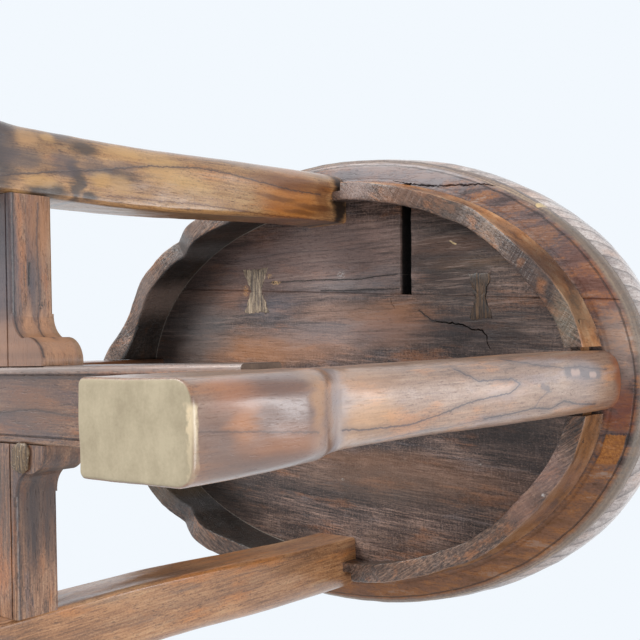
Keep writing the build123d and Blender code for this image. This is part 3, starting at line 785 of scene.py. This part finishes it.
# Marks on the side of the front leg: Y and Z
FRONT_LEG_PATCHES = [
    (-138, 70, 30, 15, 38, 30, 34, 0.85), (-150, 108, 9, 22, 56, 43, 42, 0.4), (-120, 108, 5, 12, 40, 32, 32, 0.9),
    (-127, 128, 14, 5, 48, 36, 33, 0.85), (-149, 134, 5, 9, 58, 44, 38, 0.85), (-136, 158, 3, 16, 76, 55, 42, 0.7),
    (-121, 139, 3, 5, 36, 27, 25, 0.85), (-145, 81, 16, 9, 74, 66, 68, 0.65), (-137, 94, 6, 13, 84, 74, 74, 0.75),
    (-137, 120, 6, 11, 80, 70, 74, 0.75), (-155, 121, 4, 6, 96, 84, 80, 0.7), (-138, 141, 6, 9, 106, 90, 84, 0.6),
    (-142, 160, 3, 10, 120, 96, 84, 0.6), (-126, 101, 4, 11, 208, 160, 98, 0.6), (-131, 145, 4, 8, 214, 164, 96, 0.6),
    (-151, 164, 4, 15, 222, 172, 108, 0.65), (-150, 96, 4, 8, 200, 154, 106, 0.65),
    (-152, 111, 3, 5, 210, 162, 102, 0.65), (-130, 161, 5, 10, 208, 162, 102, 0.55),
    (-144, 194, 10, 15, 218, 172, 112, 0.55), (-137, 219, 6, 18, 214, 172, 108, 0.35),
    (-130, 306, 3, 14, 116, 82, 64, 0.5), (-138, 322, 22, 34, 200, 118, 36, 0.6), (-137, 306, 2, 18, 96, 58, 32, 0.6),
    (-128, 334, 2, 20, 90, 52, 30, 0.6), (-150, 322, 5, 40, 86, 52, 36, 0.6), (-134, 350, 3, 26, 78, 44, 30, 0.6),
    # The near-black patch at height 380 is painted shadow where the leg meets the seat.
    (-143, 361, 16, 8, 108, 56, 26, 0.5), (-142, 380, 30, 7, 16, 11, 10, 0.95),
    # This pale strip along the outer arris is a painted highlight.
    (-160, 250, 4, 120, 196, 176, 164, 0.4),
]
FRONT_LEG_LINES = [
    ([(-125.7, 76.7), (-131.4, 109), (-137.1, 144.7), (-144.7, 184.2), (-149.1, 228.1), (-148.6, 256.8),
      (-146.6, 287.6), (-144.5, 320.7), (-144.6, 356.4)], 0.55, 3.0, (70, 52, 48), 0.75, 0.3),
    ([(-122, 150), (-124.5, 230), (-123.5, 300), (-125, 372)], 0.4, 2.0, (84, 44, 30), 0.6, 0.3),
]
LEG_FINISHES = {
    "leg_right": dict(
        tones=((108, 80, 63), (160, 126, 103), (190, 160, 136)),
        layers=[((200, 134, 80), 60, 14, 0.5, 0.64, 0.6, 1), ((146, 130, 132), 80, 12, 0.54, 0.7, 0.5, 2)],
        rings=((70.0, 30.0), 24.0, 7.0, (104, 88, 86), 0.35),
        marks=worn_foot(drawn_marks(NEAR_LEG_PATCHES, NEAR_LEG_LINES, plane=(1, 2), drift=(3.0, 14.0), ragged=1.0, grain=0.09,
                              facing=(1, 0, 0)))),
    "leg_front": dict(
        tones=((78, 48, 30), (184, 136, 88), (218, 174, 120)),
        layers=[((208, 128, 52), 90, 16, 0.52, 0.66, 0.6, 3), ((90, 70, 60), 80, 7, 0.58, 0.7, 0.4, 4)],
        rings=((55.0, 18.0), 19.0, 6.0, (80, 56, 46), 0.25),
        marks=drawn_marks(FRONT_LEG_PATCHES, FRONT_LEG_LINES, plane=(1, 2), drift=(4.0, 12.0), ragged=1.4, grain=0.09,
                    edge=0.5)),
    "leg_left": dict(
        tones=((60, 34, 20), (136, 84, 48), (180, 118, 72)),
        layers=[((186, 104, 44), 60, 14, 0.5, 0.66, 0.5, 5), ((60, 40, 32), 70, 8, 0.56, 0.7, 0.5, 6)],
        rings=((55.0, 22.0), 17.0, 6.0, (60, 38, 30), 0.4), marks=painted_shade_top),
    "leg_back": dict(
        tones=((84, 54, 36), (172, 122, 82), (210, 166, 122)),
        layers=[((196, 122, 58), 80, 15, 0.52, 0.66, 0.6, 7), ((84, 70, 68), 70, 8, 0.57, 0.7, 0.5, 8)],
        rings=((50.0, 26.0), 20.0, 6.0, (76, 56, 50), 0.45)),
}


# Pieces


def build_slab(context):
    """The upper slab of the seat."""
    profile = oval_profile(BOARD_TOP, SEAT_TOP, 9.0, 15.0, 5, 22, SEAT_HALF[1])
    rings = oval_rings(SEAT_HALF, profile, 11, 0.5 * context.scene.stool.wear)
    dip = 0.35 * ripple(rings, 90, 14) * smooth_step(SEAT_TOP - 1, SEAT_TOP, rings[..., 2])
    rings[..., 2] += np.minimum(dip, 0.0)
    piece_from("seat_slab_worn", *tube(rings), slab_finish(), "seat_slab", "seat_wood")


# Cracks cut into each board: route, width and depth
CRACKS = {
    "seat_board_wide": [
        ([(100, -43.5), (112, -42), (123, -40.5), (131, -36.5), (139, -35.5), (143, -31), (143, -26), (146.5, -21)],
         1.5, 4.0),
        ([(60, -64), (61, -59), (64, -55)], 0.8, 1.5)],
    "seat_board_narrow": [([(66, -153), (88, -147), (108, -144), (142, -141), (160, -137)], 1.9, 3.5)],
}


def build_boards(context):
    """The two boards under the slab, parted along the slanted joint, with slot, key pockets and cracks."""
    profile = oval_profile(UNDERSIDE, BOARD_TOP, 6.5, 4.0, 46, 5, BOARD_HALF[1])
    rings = oval_rings(BOARD_HALF, profile, 21, 0.45 * context.scene.stool.wear)
    low = smooth_step(UNDERSIDE + 2.5, UNDERSIDE, rings[..., 2])
    rings[..., 2] += low * (0.22 * ripple(rings * [0.35, 1, 1], 24, 23) + 0.1 * ripple(rings * [0.2, 1, 1], 6, 24))
    shape = tube(rings)
    for name, sign, shift in (("seat_board_wide", 1, 0.0), ("seat_board_narrow", -1, 31.0)):
        board = piece_from(name + "_worn", *shape, board_finish(name + "_wood", shift), name, "board_wood")
        aside = (math.sin(JOINT_SLANT) * sign, -math.cos(JOINT_SLANT) * sign)
        with opened(board.data) as mesh:
            cut_flat(mesh, (0, joint_y(0) * MM, 0), (*aside, 0.0))
            cut_flat(mesh, (0, joint_y(0) * MM, (UNDERSIDE + 0.7) * MM), (*aside, -1.0))
        cutters = [crack_cutter(f"crack_{k}", *crack, 40 + k) for k, crack in enumerate(CRACKS[name])]
        for k, key in enumerate(KEYS):
            cutters.append(prism_cutter(f"pocket_{k}", key_outline(*key, 61 + k), UNDERSIDE - 3, UNDERSIDE + KEY_DEPTH))
        if sign < 0:
            cutters.append(prism_cutter("slot", walk(SLOT, 3.0, 0.16, 25), UNDERSIDE - 5, BOARD_TOP + 5))
        cut_away(board, cutters)
        board.data.shade_smooth()
        crisp_edges(board)


def key_outline(place, width, length, waist, seed):
    """Rough butterfly outline across the joint."""
    corners = [(-width, -length), (width, -length), (waist, 0), (width, length), (-width, length), (-waist, 0)]
    return walk([(place + a / 2, joint_y(place) + b / 2) for a, b in corners], 2.2, 0.5, seed)


def build_keys(context):
    """The two butterfly keys, with torn fibres standing a little proud."""
    for name, seed, (place, width, length, waist) in zip(("butterfly_key_left", "butterfly_key_right"), (61, 62), KEYS):
        outline = np.array(key_outline(place, width - 0.1, length - 0.2, waist - 0.1, seed))
        middle = np.array((place, joint_y(place)))
        draw = np.random.default_rng(seed)
        rings = []
        for share, height in ((1.0, KEY_DEPTH), (1.0, 1), (1.0, 0.1), (0.94, -0.35), (0.7, -0.4), (0.4, -0.4)):
            heights = np.full(len(outline), UNDERSIDE + height)
            if height < 0:
                heights += draw.uniform(-0.25, 0.25, len(outline))
            rings.append(np.column_stack([middle + (outline - middle) * share, heights]))
        key = piece_from(name + "_rough", *tube(rings), key_finish(name + "_wood", seed), name, "key_wood")
        crisp_edges(key, 50)


def soft_rectangle(low, high, half, outer_round, inner_round, side_points=14, corner_points=8):
    """Closed outline from low to high and half to each side, with its own rounding outside and inside."""
    corners = []
    for a, b, start, bend in ((high - outer_round, half - outer_round, 0, outer_round),
                              (low + inner_round, half - inner_round, 90, inner_round),
                              (low + inner_round, -half + inner_round, 180, inner_round),
                              (high - outer_round, -half + outer_round, 270, outer_round)):
        turn = np.radians(np.linspace(start, start + 90, corner_points))
        corners.append(np.stack([a + bend * np.cos(turn), b + bend * np.sin(turn)], axis=1))
    outline = []
    for corner, after in zip(corners, corners[1:] + corners[:1]):
        share = (np.arange(1, side_points) / side_points)[:, None]
        outline += [corner, corner[-1] + (after[0] - corner[-1]) * share]
    return np.concatenate(outline)


def leg_rings(reach, collar, swell, seed):
    """Rings of one leg in local directions: outward, across and up.

    collar is the height where its foot ends, and swell is how far the foot's outer face bulges.
    """
    heights = [*np.linspace(UNDERSIDE + 26, UNDERSIDE + 1, 3), UNDERSIDE + 0.02,
               *np.linspace(UNDERSIDE - 0.1, 104, 125), *np.linspace(103, 60, 76), *np.linspace(58.5, 4, 34),
               2.6, 1.5, 0.7, 0.2, 0.0]
    rings = []
    for height in heights:
        shoulder = smooth_step(collar + 5, collar - 20, height)
        crown = 0.0
        if height > UNDERSIDE:
            outline = soft_rectangle(reach - 32, reach - 8, 12, 0.6, 0.6)
        elif height >= collar:
            ease = math.sin(math.pi / 2 * min(1.0, (UNDERSIDE - height) / 238)) ** 2
            outer, depth, width = reach - 7 * ease, 40 + 1.5 * ease, 39.5 - 3.5 * ease
            outline = soft_rectangle(outer - depth, outer + 7.0 * shoulder, width / 2 + 0.75 * shoulder, 7.5, 3.0)
        else:
            inner = reach - 48.5 - 6.5 * max(0.0, 76 - height) / 76
            low = 1.5 * (1 - math.sqrt(max(0.0, 1 - (1 - min(height, 1.5) / 1.5) ** 2)))
            bend = 7.5 - 4.5 * smooth_step(86, 30, height)
            outer, half = reach - 7.0 + 7.0 * shoulder - low, 18.0 + 0.75 * shoulder - low
            outline = soft_rectangle(inner + low, outer, half, bend, 3.0 - low)
            crown = (swell - 1.3 * ((height - 44) / 44) ** 2) * smooth_step(collar - 1, collar - 37, height)
        ring = np.column_stack([outline, np.full(len(outline), height)])
        if collar <= height <= UNDERSIDE:
            face = smooth_step(reach - 34, reach - 14, ring[:, 0])
            sides = np.clip(np.abs(ring[:, 1]) / LEG_HALF, 0, 1) ** 2.2
            ring[:, 0] -= 5.5 * face * sides * smooth_step(collar - 2, collar + 20, height)
        if crown:
            face = smooth_step(reach - 25, reach - 9, ring[:, 0])
            ring[:, 0] += crown * face * (1 - np.clip(np.abs(ring[:, 1]) / 18.75, 0, 1) ** 5.5)
        rings.append(ring)
    rings = np.array(rings)
    away = (rings - [reach - 25, 0, 0]) * [1, 1, 0]
    away /= np.linalg.norm(away, axis=2, keepdims=True)
    push = 0.3 * ripple(rings * [1, 1, 0.35], 30, seed) + 0.08 * ripple(rings * [1, 1, 0.5], 9, seed + 1)
    return rings + away * (push * smooth_step(UNDERSIDE, UNDERSIDE - 2, rings[..., 2]))[..., None]


def build_legs(context):
    """The four legs with their crowned feet."""
    for seed, (name, (reach, collar, angle)) in enumerate(LEGS.items()):
        rings = leg_rings(reach, collar, context.scene.stool.foot_swell / MM, 70 + 3 * seed)
        sine, cosine = math.sin(math.radians(angle)), math.cos(math.radians(angle))
        rings = rings @ np.array([[cosine, sine, 0], [-sine, cosine, 0], [0, 0, 1]])
        finish = leg_finish(name + "_wood", angle, **LEG_FINISHES[name])
        crisp_edges(piece_from(name + "_worn", *tube(rings), finish, name, "leg_wood"), 60)


# Lower edge of the left and right aprons: shares of the chord and shares of the depth
SCALLOPS = {
    -1: [(-0.02, 1.00), (0.02, 0.92), (0.06, 0.75), (0.10, 0.64), (0.15, 0.63), (0.21, 0.67), (0.28, 0.73),
         (0.34, 0.76), (0.41, 0.77), (0.47, 0.72), (0.52, 0.63), (0.57, 0.77), (0.63, 0.88), (0.71, 0.91),
         (0.80, 0.84), (0.90, 0.76), (0.96, 0.88), (1.02, 1.00)],
    1: [(-0.02, 0.42), (0.03, 0.43), (0.09, 0.41), (0.14, 0.45), (0.22, 0.51), (0.30, 0.52), (0.38, 0.45), (0.46, 0.36),
        (0.53, 0.28), (0.58, 0.35), (0.66, 0.47), (0.75, 0.54), (0.84, 0.50), (0.94, 0.37), (1.02, 0.31)],
}


def scallop_curve(table):
    """Smooth shares and depths through the drawn points of a scalloped edge."""
    table = np.array(table)
    shares = np.linspace(table[0, 0], table[-1, 0], 200)
    depths = np.interp(shares, table[:, 0], table[:, 1])
    blur = np.exp(-np.linspace(-1.6, 1.6, 9) ** 2)
    return shares, np.convolve(np.pad(depths, 4, mode="edge"), blur / blur.sum(), mode="valid")


def apron_section(across_steps=9, down_steps=18):
    """Walk round an apron's section: 0 outside to 1 inside, and 0 at the seat to 1 at the lower edge."""
    wide, high = 0.09, 0.07
    turns = [(math.sin(turn), math.cos(turn)) for turn in np.linspace(0, math.pi / 2, 5)[1:]]
    return ([(0.0, drop) for drop in np.linspace(0, 1 - high, down_steps)]
            + [(wide * (1 - cosine), 1 - high + high * sine) for sine, cosine in turns]
            + [(side, 1.0) for side in np.linspace(wide, 1 - wide, across_steps)[1:]]
            + [(1 - wide * (1 - sine), 1 - high * (1 - cosine)) for sine, cosine in turns]
            + [(1.0, drop) for drop in np.linspace(1 - high, 0, down_steps)[1:]]
            + [(side, 0.0) for side in np.linspace(1, 0, across_steps)[1:-1]])


def wall_at(half, start, along, aside, share):
    """Where the plane across the chord at one place meets an upright oval wall."""
    low, high = np.full_like(share, -60.0), np.full_like(share, 160.0)
    line = start + along * share[..., None]
    for _ in range(40):
        mid = (low + high) / 2
        spot = line + aside * mid[..., None]
        inside = (spot[..., 0] / half[0]) ** 2 + (spot[..., 1] / half[1]) ** 2 < 1
        low, high = np.where(inside, mid, low), np.where(inside, high, mid)
    return line + aside * low[..., None]


def tongue(x, y, a, b, half=16.0):
    """Short flat tongue that enters a leg, along one direction."""
    corners = [(x + a * half * s1 + abs(b) * 3.5 * s2, y + b * half * s1 + abs(a) * 3.5 * s2)
               for s1, s2 in ((-1, -1), (1, -1), (1, 1), (-1, 1))]
    return prism_cutter("tongue", corners, UNDERSIDE - 17.0, UNDERSIDE - 3.0)


def build_aprons(context):
    """The four bowed aprons with scalloped lower edges and end tongues."""
    for name, side_x, side_y in (("apron_front_right", 1, -1), ("apron_back_right", 1, 1),
                                 ("apron_front_left", -1, -1), ("apron_back_left", -1, 1)):
        thick, gap_short, gap_long = (14.0, 9.0, 2.5) if side_x > 0 else (17.0, 5.0, 0.1)
        start = np.array([side_x * (APRON_HALF[0] - TONGUE_SETBACK), side_y * LEG_HALF])
        end = np.array([side_x * LEG_HALF, side_y * (APRON_HALF[1] - TONGUE_SETBACK)])
        chord = np.linalg.norm(end - start)
        along = (end - start) / chord
        aside = np.array([-along[1], along[0]])
        if aside @ [side_x, side_y] < 0:
            aside = -aside
        shares = np.linspace(-0.14, 1.14, 240)
        places = np.stack([shares * chord, shares * 0, shares * 0], axis=1)
        deep = np.interp(shares, *scallop_curve(SCALLOPS[side_x])) * APRON_DEPTH + 0.3 * ripple(places, 16, 80 + side_x)
        rings = []
        for side, drop in apron_section():
            fall = drop * deep
            scoop = 2.4 * (1 - side) ** 2 * math.sin(math.pi * min(1.0, drop) ** 0.8) if side < 0.5 else 0.0
            inset = side * thick + APRON_LEAN * fall / APRON_DEPTH + scoop
            half = (APRON_HALF[0] - inset, APRON_HALF[1] - inset)
            spots = np.column_stack([wall_at(half, start, along, aside, shares * chord), UNDERSIDE - fall])
            rough = smooth_step(0.0, 0.25, drop) * (0.35 * ripple(spots, 26, 84) + 0.12 * ripple(spots, 8, 85))
            rings.append(spots + np.array([*aside, 0.0]) * rough[:, None])
        rings = np.array(rings).transpose(1, 0, 2)
        if side_x * side_y > 0:
            rings = rings[:, ::-1]
        finish = apron_finish(name + "_wood", side_x, side_y)
        apron = piece_from(name + "_worn", *tube(rings), finish, name, "apron_wood")
        with opened(apron.data) as mesh:
            cut_flat(mesh, (side_x * (LEG_HALF + gap_short) * MM, 0, 0), (-side_x, 0, 0))
            cut_flat(mesh, (0, side_y * (LEG_HALF + gap_long) * MM, 0), (0, -side_y, 0))
        cut_away(apron, [tongue(side_x * (APRON_HALF[0] - 13.0), side_y * 24.0, 0, -side_y),
                         tongue(side_x * 26.0, side_y * (APRON_HALF[1] - 13.0), -side_x, 0)], "UNION")
        crisp_edges(apron, 50)


def build_shim(context):
    """The shim beside the lap, its head mushroomed by the hammer."""
    rings = []
    for height, long, wide in SHIM_RINGS:
        outline = soft_rectangle(-wide / 2, wide / 2, long / 2, wide * 0.36, wide * 0.36, 8, 6)
        place = (SHIM_X + max(0.0, wide - SHIM_WIDTH) / 2, SHIM_Y)
        ring = np.column_stack([outline + place, np.full(len(outline), height)])
        if height < SHIM_HEAD:
            ring[:, 0] -= 0.4 + 0.12 * outline[:, 1]
            rough = (0.45 * ripple(ring, 5, 90), 0.45 * ripple(ring, 5, 91), 0.12 * ripple(ring, 4, 92))
            ring += np.stack(rough, axis=1)
        rings.append(ring)

    def crumbs(make, colour, height, shine):
        light = make.step(make.cloud((0.9, 0.9, 0.9), 2.0, 0.6), 0.6, 0.68)
        return make.lay(light * 0.75, colour, (206, 190, 166)), height + light, shine

    finish = timber("crossing_shim_wood", (0, 1, 0), (1, 0, 0), ((40, 31, 26), (104, 84, 64), (156, 130, 98)),
                    fibre=1.0, dashes=0.5, grit=0.5, roughness=0.6, bump=0.9, marks=crumbs, level=chosen("rail_stain"))
    piece_from("crossing_shim_rough", *tube(rings), finish, "crossing_shim", "shim_wood")


# Marks on the floor side of the long rail: X and Y
LONG_RAIL_PATCHES = [
    (20, -8, 50, 12, 106, 84, 77, 0.75), (30, 10, 40, 9, 96, 80, 76, 0.7), (46, 0, 20, 8, 134, 98, 76, 0.5),
]
LONG_RAIL_LINES = [
    ([(-30, 3), (0, 5), (40, 2), (90, 6)], 0.6, 3.0, (64, 54, 52), 0.6, 0.3),
    # The pale line is a painted highlight on the front arris, and the dark line beside it is painted shadow.
    ([(-60, -19.6), (195, -19.6)], 2.0, 3.6, (166, 152, 146), 0.6, 0.0),
    ([(-60, -15), (195, -15)], 1.0, 2.6, (56, 46, 46), 0.6, 0.0),
]
# Marks on the side of the short rail: Y and Z
SHORT_RAIL_PATCHES = [
    (-80, 80, 90, 2.5, 88, 80, 86, 0.75), (-34, 80, 15, 3, 62, 58, 68, 0.8), (-80, 95, 46, 4, 64, 60, 70, 0.7),
    (-34, 96, 14, 16, 214, 158, 118, 0.8), (54, 95, 30, 16, 64, 46, 40, 0.75), (-100, 100, 20, 8, 184, 122, 70, 0.6),
    (-72, 84, 30, 3, 96, 92, 100, 0.6), (60, 92, 30, 4, 52, 42, 42, 0.7), (52, 103, 30, 4, 60, 46, 42, 0.6),
    (-50, 107, 60, 2, 168, 132, 96, 0.5),
]
SHORT_RAIL_LINES = [
    ([(-140, 82.6), (-26, 82.6)], 0.7, 2.0, (40, 34, 38), 0.7, 0.0),
    ([(26, 82.6), (140, 82.6)], 0.7, 2.0, (40, 34, 38), 0.6, 0.0),
    ([(-78, 92.5), (-66, 92)], 0.5, 1.6, (24, 18, 18), 0.9, 1.0),
    ([(-112, 99), (-90, 97.5), (-60, 99), (-36, 96)], 0.6, 3.0, (60, 48, 50), 0.6, 0.3),
]
SHORT_RAIL_FLECKS = [(-54.3, 99.5, 1.6, 1.6, 50, 36, 30)]


def long_rail_marks(make, colour, height, shine):
    """Grime on the front side of the long rail, and on its floor side wear, a painted highlight on its front arris and
    a painted shadow line beside it.
    """
    grime = make.step(make.parts(make.here)[1], -20.5, -20.9)
    colour = make.lay(grime * 0.65, colour, (62, 50, 46))
    return drawn_marks(LONG_RAIL_PATCHES, LONG_RAIL_LINES, drift=(20.0, 6.0), facing=(0, 0, -1))(make, colour, height, shine)


def finish_rails(context):
    """Gives the rails, whose solids stay, their finish and eased edges, and adds the shim."""
    short_rail_marks = drawn_marks(SHORT_RAIL_PATCHES, SHORT_RAIL_LINES, SHORT_RAIL_FLECKS, plane=(1, 2),
                             drift=(16.0, 3.0), grain=0.04)
    for name, along, across, shift, marks in (("stretcher_long", (1, 0, 0), (0, 1, 0), 5.0, long_rail_marks),
                                              ("stretcher_short", (0, 1, 0), (1, 0, 0), 17.0, short_rail_marks)):
        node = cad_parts[name]
        material = rail_finish(name + "_wood", along, across, shift, marks)
        for slot in node.material_slots:
            slot.material = material
        soften = node.modifiers.new("worn_edges", "BEVEL")
        soften.width = context.scene.stool.rail_ease
        soften.segments = 3
        soften.limit_method = "ANGLE"
        soften.angle_limit = math.radians(32)
    build_shim(context)


# Each lamp: place, target, width, power and colour
LAMPS = {
    "window": ((-1.2, -1.7, -1.2), (0, 0, 0.3), 1.5, 62.0, (1.0, 0.985, 0.96)),
    "room_side": ((1.9, 0.2, -0.7), (0, 0, 0.3), 1.6, 26.0, (0.97, 0.985, 1.0)),
    "overhead": ((1.0, 0.15, 2.5), (0, 0, 0.3), 1.6, 40.0, (0.97, 0.985, 1.0)),
    "pane": ((1.69, -0.12, 1.70), (0.25, 0, 0.05), 0.42, 5.5, (0.9, 0.95, 1.0)),
}
# The camera's right, up and backward directions, and its place
CAMERA_TURN = (0.7795, 0.0275, 0.6257), (0.0382, -0.9993, -0.0037), (0.6256, 0.0268, -0.7797)
CAMERA_PLACE = (0.4759, -0.0279, -0.2179)
FLOOR_HALF = 6000.0


def look_matrix(way):
    """Turn that points an object's -Z along a direction."""
    back = -way / np.linalg.norm(way)
    side = np.cross([0.0, 0.0, 1.0] if abs(back[2]) < 0.95 else [0.0, 1.0, 0.0], back)
    side /= np.linalg.norm(side)
    return Matrix(np.stack([side, np.cross(back, side), back], axis=1).tolist())


def build_stage(context):
    """Pale floor that is seen only from above, soft lamps, a pale room and the camera."""
    scene = context.scene
    look = scene.stool
    make = Recipe(bpy.data.materials.new("pale_floor"))
    seen = make.node("ShaderNodeNewGeometry", {}, {}, "Backfacing")
    shade = make.node("ShaderNodeBsdfPrincipled", {}, {"Base Color": srgb(236, 240, 244), "Roughness": 0.9})
    clear = make.node("ShaderNodeBsdfTransparent", {}, {})
    surface = make.node("ShaderNodeMixShader", {}, {0: seen, 1: shade, 2: clear})
    make.node("ShaderNodeOutputMaterial", {}, {"Surface": surface})
    corners = [(FLOOR_HALF * a, FLOOR_HALF * b, 0) for a, b in ((-1, -1), (1, -1), (1, 1), (-1, 1))]
    floor = object_from("floor", corners, [(0, 1, 2, 3)])
    floor.data.materials.append(make.owner)
    floor.visible_shadow = floor.visible_diffuse = floor.visible_glossy = floor.visible_transmission = False

    scene.world = bpy.data.worlds.new("pale_room")
    room = Recipe(scene.world)
    plain = room.node("ShaderNodeBackground", {}, {"Color": tuple(look.room_light), "Strength": look.room_strength})
    shown = room.node("ShaderNodeBackground", {}, {"Color": tuple(look.backdrop), "Strength": 1.0})
    seen = room.node("ShaderNodeLightPath", {}, {}, "Is Camera Ray")
    rays = seen.socket.node.outputs
    for kind in ("Is Transmission Ray", "Is Glossy Ray"):
        seen = seen.maths("MAXIMUM", Value(room, rays[kind]))
    surface = room.node("ShaderNodeMixShader", {}, {0: seen, 1: plain, 2: shown})
    room.node("ShaderNodeOutputWorld", {}, {"Surface": surface})

    for name, (place, target, width, power, colour) in LAMPS.items():
        lamp = bpy.data.lights.new(name, "AREA")
        lamp.shape = "DISK"
        lamp.size = width
        lamp.energy = power * look.lamp_level
        lamp.color = colour
        holder = bpy.data.objects.new(name, lamp)
        context.collection.objects.link(holder)
        holder.location = place
        holder.rotation_euler = look_matrix(np.array(target) - np.array(place)).to_euler()
        holder.visible_camera = False
        holder.visible_glossy = name != "overhead"

    camera = bpy.data.objects.new("camera", bpy.data.cameras.new("camera"))
    context.collection.objects.link(camera)
    camera.data.sensor_width = 36.0
    camera.data.sensor_fit = "HORIZONTAL"
    camera.data.lens = look.lens
    camera.data.clip_start = 0.01
    turn = Matrix(CAMERA_TURN).transposed().to_4x4()
    turn.translation = CAMERA_PLACE
    camera.matrix_world = turn
    scene.camera = camera
    scene.view_settings.view_transform = "Standard"


# The add-on


def stain(name):
    """A colour that a user lays over one wood, white for none."""
    return FloatVectorProperty(name=name, description=f"{name} laid over the wood, white for none", subtype="COLOR",
                               default=(1.0, 1.0, 1.0), min=0.0, soft_max=1.0)


class StoolSettings(bpy.types.PropertyGroup):
    """Sizes and colours that a user would change."""

    lens: FloatProperty(name="Lens", description="Focal length of the camera, in millimetres", default=53.43, min=20.0,
                        max=200.0, unit="CAMERA")
    lamp_level: FloatProperty(name="Lamp level", description="Strength of every lamp together", default=1.0, min=0.0,
                              soft_max=2.0, subtype="FACTOR")
    room_strength: FloatProperty(name="Room light", description="Strength of the pale room's light", default=0.42,
                                 min=0.0)
    room_light: FloatVectorProperty(name="Room colour", description="Colour of the light from the room",
                                    subtype="COLOR", default=(0.9, 0.94, 1.0))
    backdrop: FloatVectorProperty(name="Backdrop", description="Colour seen behind the stool", subtype="COLOR",
                                  default=srgb(242, 248, 254))
    wear: FloatProperty(name="Seat wear", description="How uneven the worn edges of the seat are", default=1.0, min=0.0,
                        max=3.0, subtype="FACTOR")
    foot_swell: FloatProperty(name="Foot swell", description="How far the outer face of a foot bulges",
                              default=8.0 * MM, min=2.0 * MM, max=9.0 * MM, unit="LENGTH", subtype="DISTANCE",
                              precision=4)
    rail_ease: FloatProperty(name="Rail easing", description="Width of the worn edges of the rails", default=0.9 * MM,
                             min=0.1 * MM, max=2.0 * MM, unit="LENGTH", subtype="DISTANCE", precision=4)
    seat_stain: stain("Seat stain")
    board_stain: stain("Board stain")
    key_stain: stain("Key stain")
    leg_stain: stain("Leg stain")
    apron_stain: stain("Apron stain")
    rail_stain: stain("Rail stain")


class STOOL_OT_stage(bpy.types.Operator):
    """Set the floor, the lamps and the camera"""

    bl_idname = "stool.stage"
    bl_label = "Stage"
    bl_options = {"REGISTER", "UNDO"}

    def execute(self, context):
        build_stage(context)
        return {"FINISHED"}


class STOOL_OT_slab(bpy.types.Operator):
    """Carve the upper slab of the seat"""

    bl_idname = "stool.slab"
    bl_label = "Seat slab"
    bl_options = {"REGISTER", "UNDO"}

    def execute(self, context):
        build_slab(context)
        return {"FINISHED"}


class STOOL_OT_boards(bpy.types.Operator):
    """Carve the two boards under the seat"""

    bl_idname = "stool.boards"
    bl_label = "Seat boards"
    bl_options = {"REGISTER", "UNDO"}

    def execute(self, context):
        build_boards(context)
        return {"FINISHED"}


class STOOL_OT_keys(bpy.types.Operator):
    """Let in the butterfly keys"""

    bl_idname = "stool.keys"
    bl_label = "Butterfly keys"
    bl_options = {"REGISTER", "UNDO"}

    def execute(self, context):
        build_keys(context)
        return {"FINISHED"}


class STOOL_OT_legs(bpy.types.Operator):
    """Carve the four legs"""

    bl_idname = "stool.legs"
    bl_label = "Legs"
    bl_options = {"REGISTER", "UNDO"}

    def execute(self, context):
        build_legs(context)
        return {"FINISHED"}


class STOOL_OT_aprons(bpy.types.Operator):
    """Carve the four aprons"""

    bl_idname = "stool.aprons"
    bl_label = "Aprons"
    bl_options = {"REGISTER", "UNDO"}

    def execute(self, context):
        build_aprons(context)
        return {"FINISHED"}


class STOOL_OT_rails(bpy.types.Operator):
    """Finish the crossed rails and the shim"""

    bl_idname = "stool.rails"
    bl_label = "Rails"
    bl_options = {"REGISTER", "UNDO"}

    def execute(self, context):
        finish_rails(context)
        return {"FINISHED"}


OPERATORS = (STOOL_OT_stage, STOOL_OT_slab, STOOL_OT_boards, STOOL_OT_keys, STOOL_OT_legs, STOOL_OT_aprons,
             STOOL_OT_rails)


class STOOL_PT_panel(bpy.types.Panel):
    """The stool's pieces and settings"""

    bl_idname = "STOOL_PT_panel"
    bl_label = "Stool"
    bl_space_type = "VIEW_3D"
    bl_region_type = "UI"
    bl_category = "Stool"

    def draw(self, context):
        layout = self.layout
        for operator in OPERATORS:
            layout.operator(operator.bl_idname)
        for key in StoolSettings.__annotations__:
            layout.prop(context.scene.stool, key)


CLASSES = (StoolSettings, *OPERATORS, STOOL_PT_panel)


def register():
    for cls in CLASSES:
        bpy.utils.register_class(cls)
    bpy.types.Scene.stool = PointerProperty(type=StoolSettings)


def unregister():
    del bpy.types.Scene.stool
    for cls in reversed(CLASSES):
        bpy.utils.unregister_class(cls)


def main():
    """Registers the add-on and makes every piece."""
    register()
    for operator in OPERATORS:
        group, name = operator.bl_idname.split(".")
        getattr(getattr(bpy.ops, group), name)()


if __name__ == "__main__":
    main()
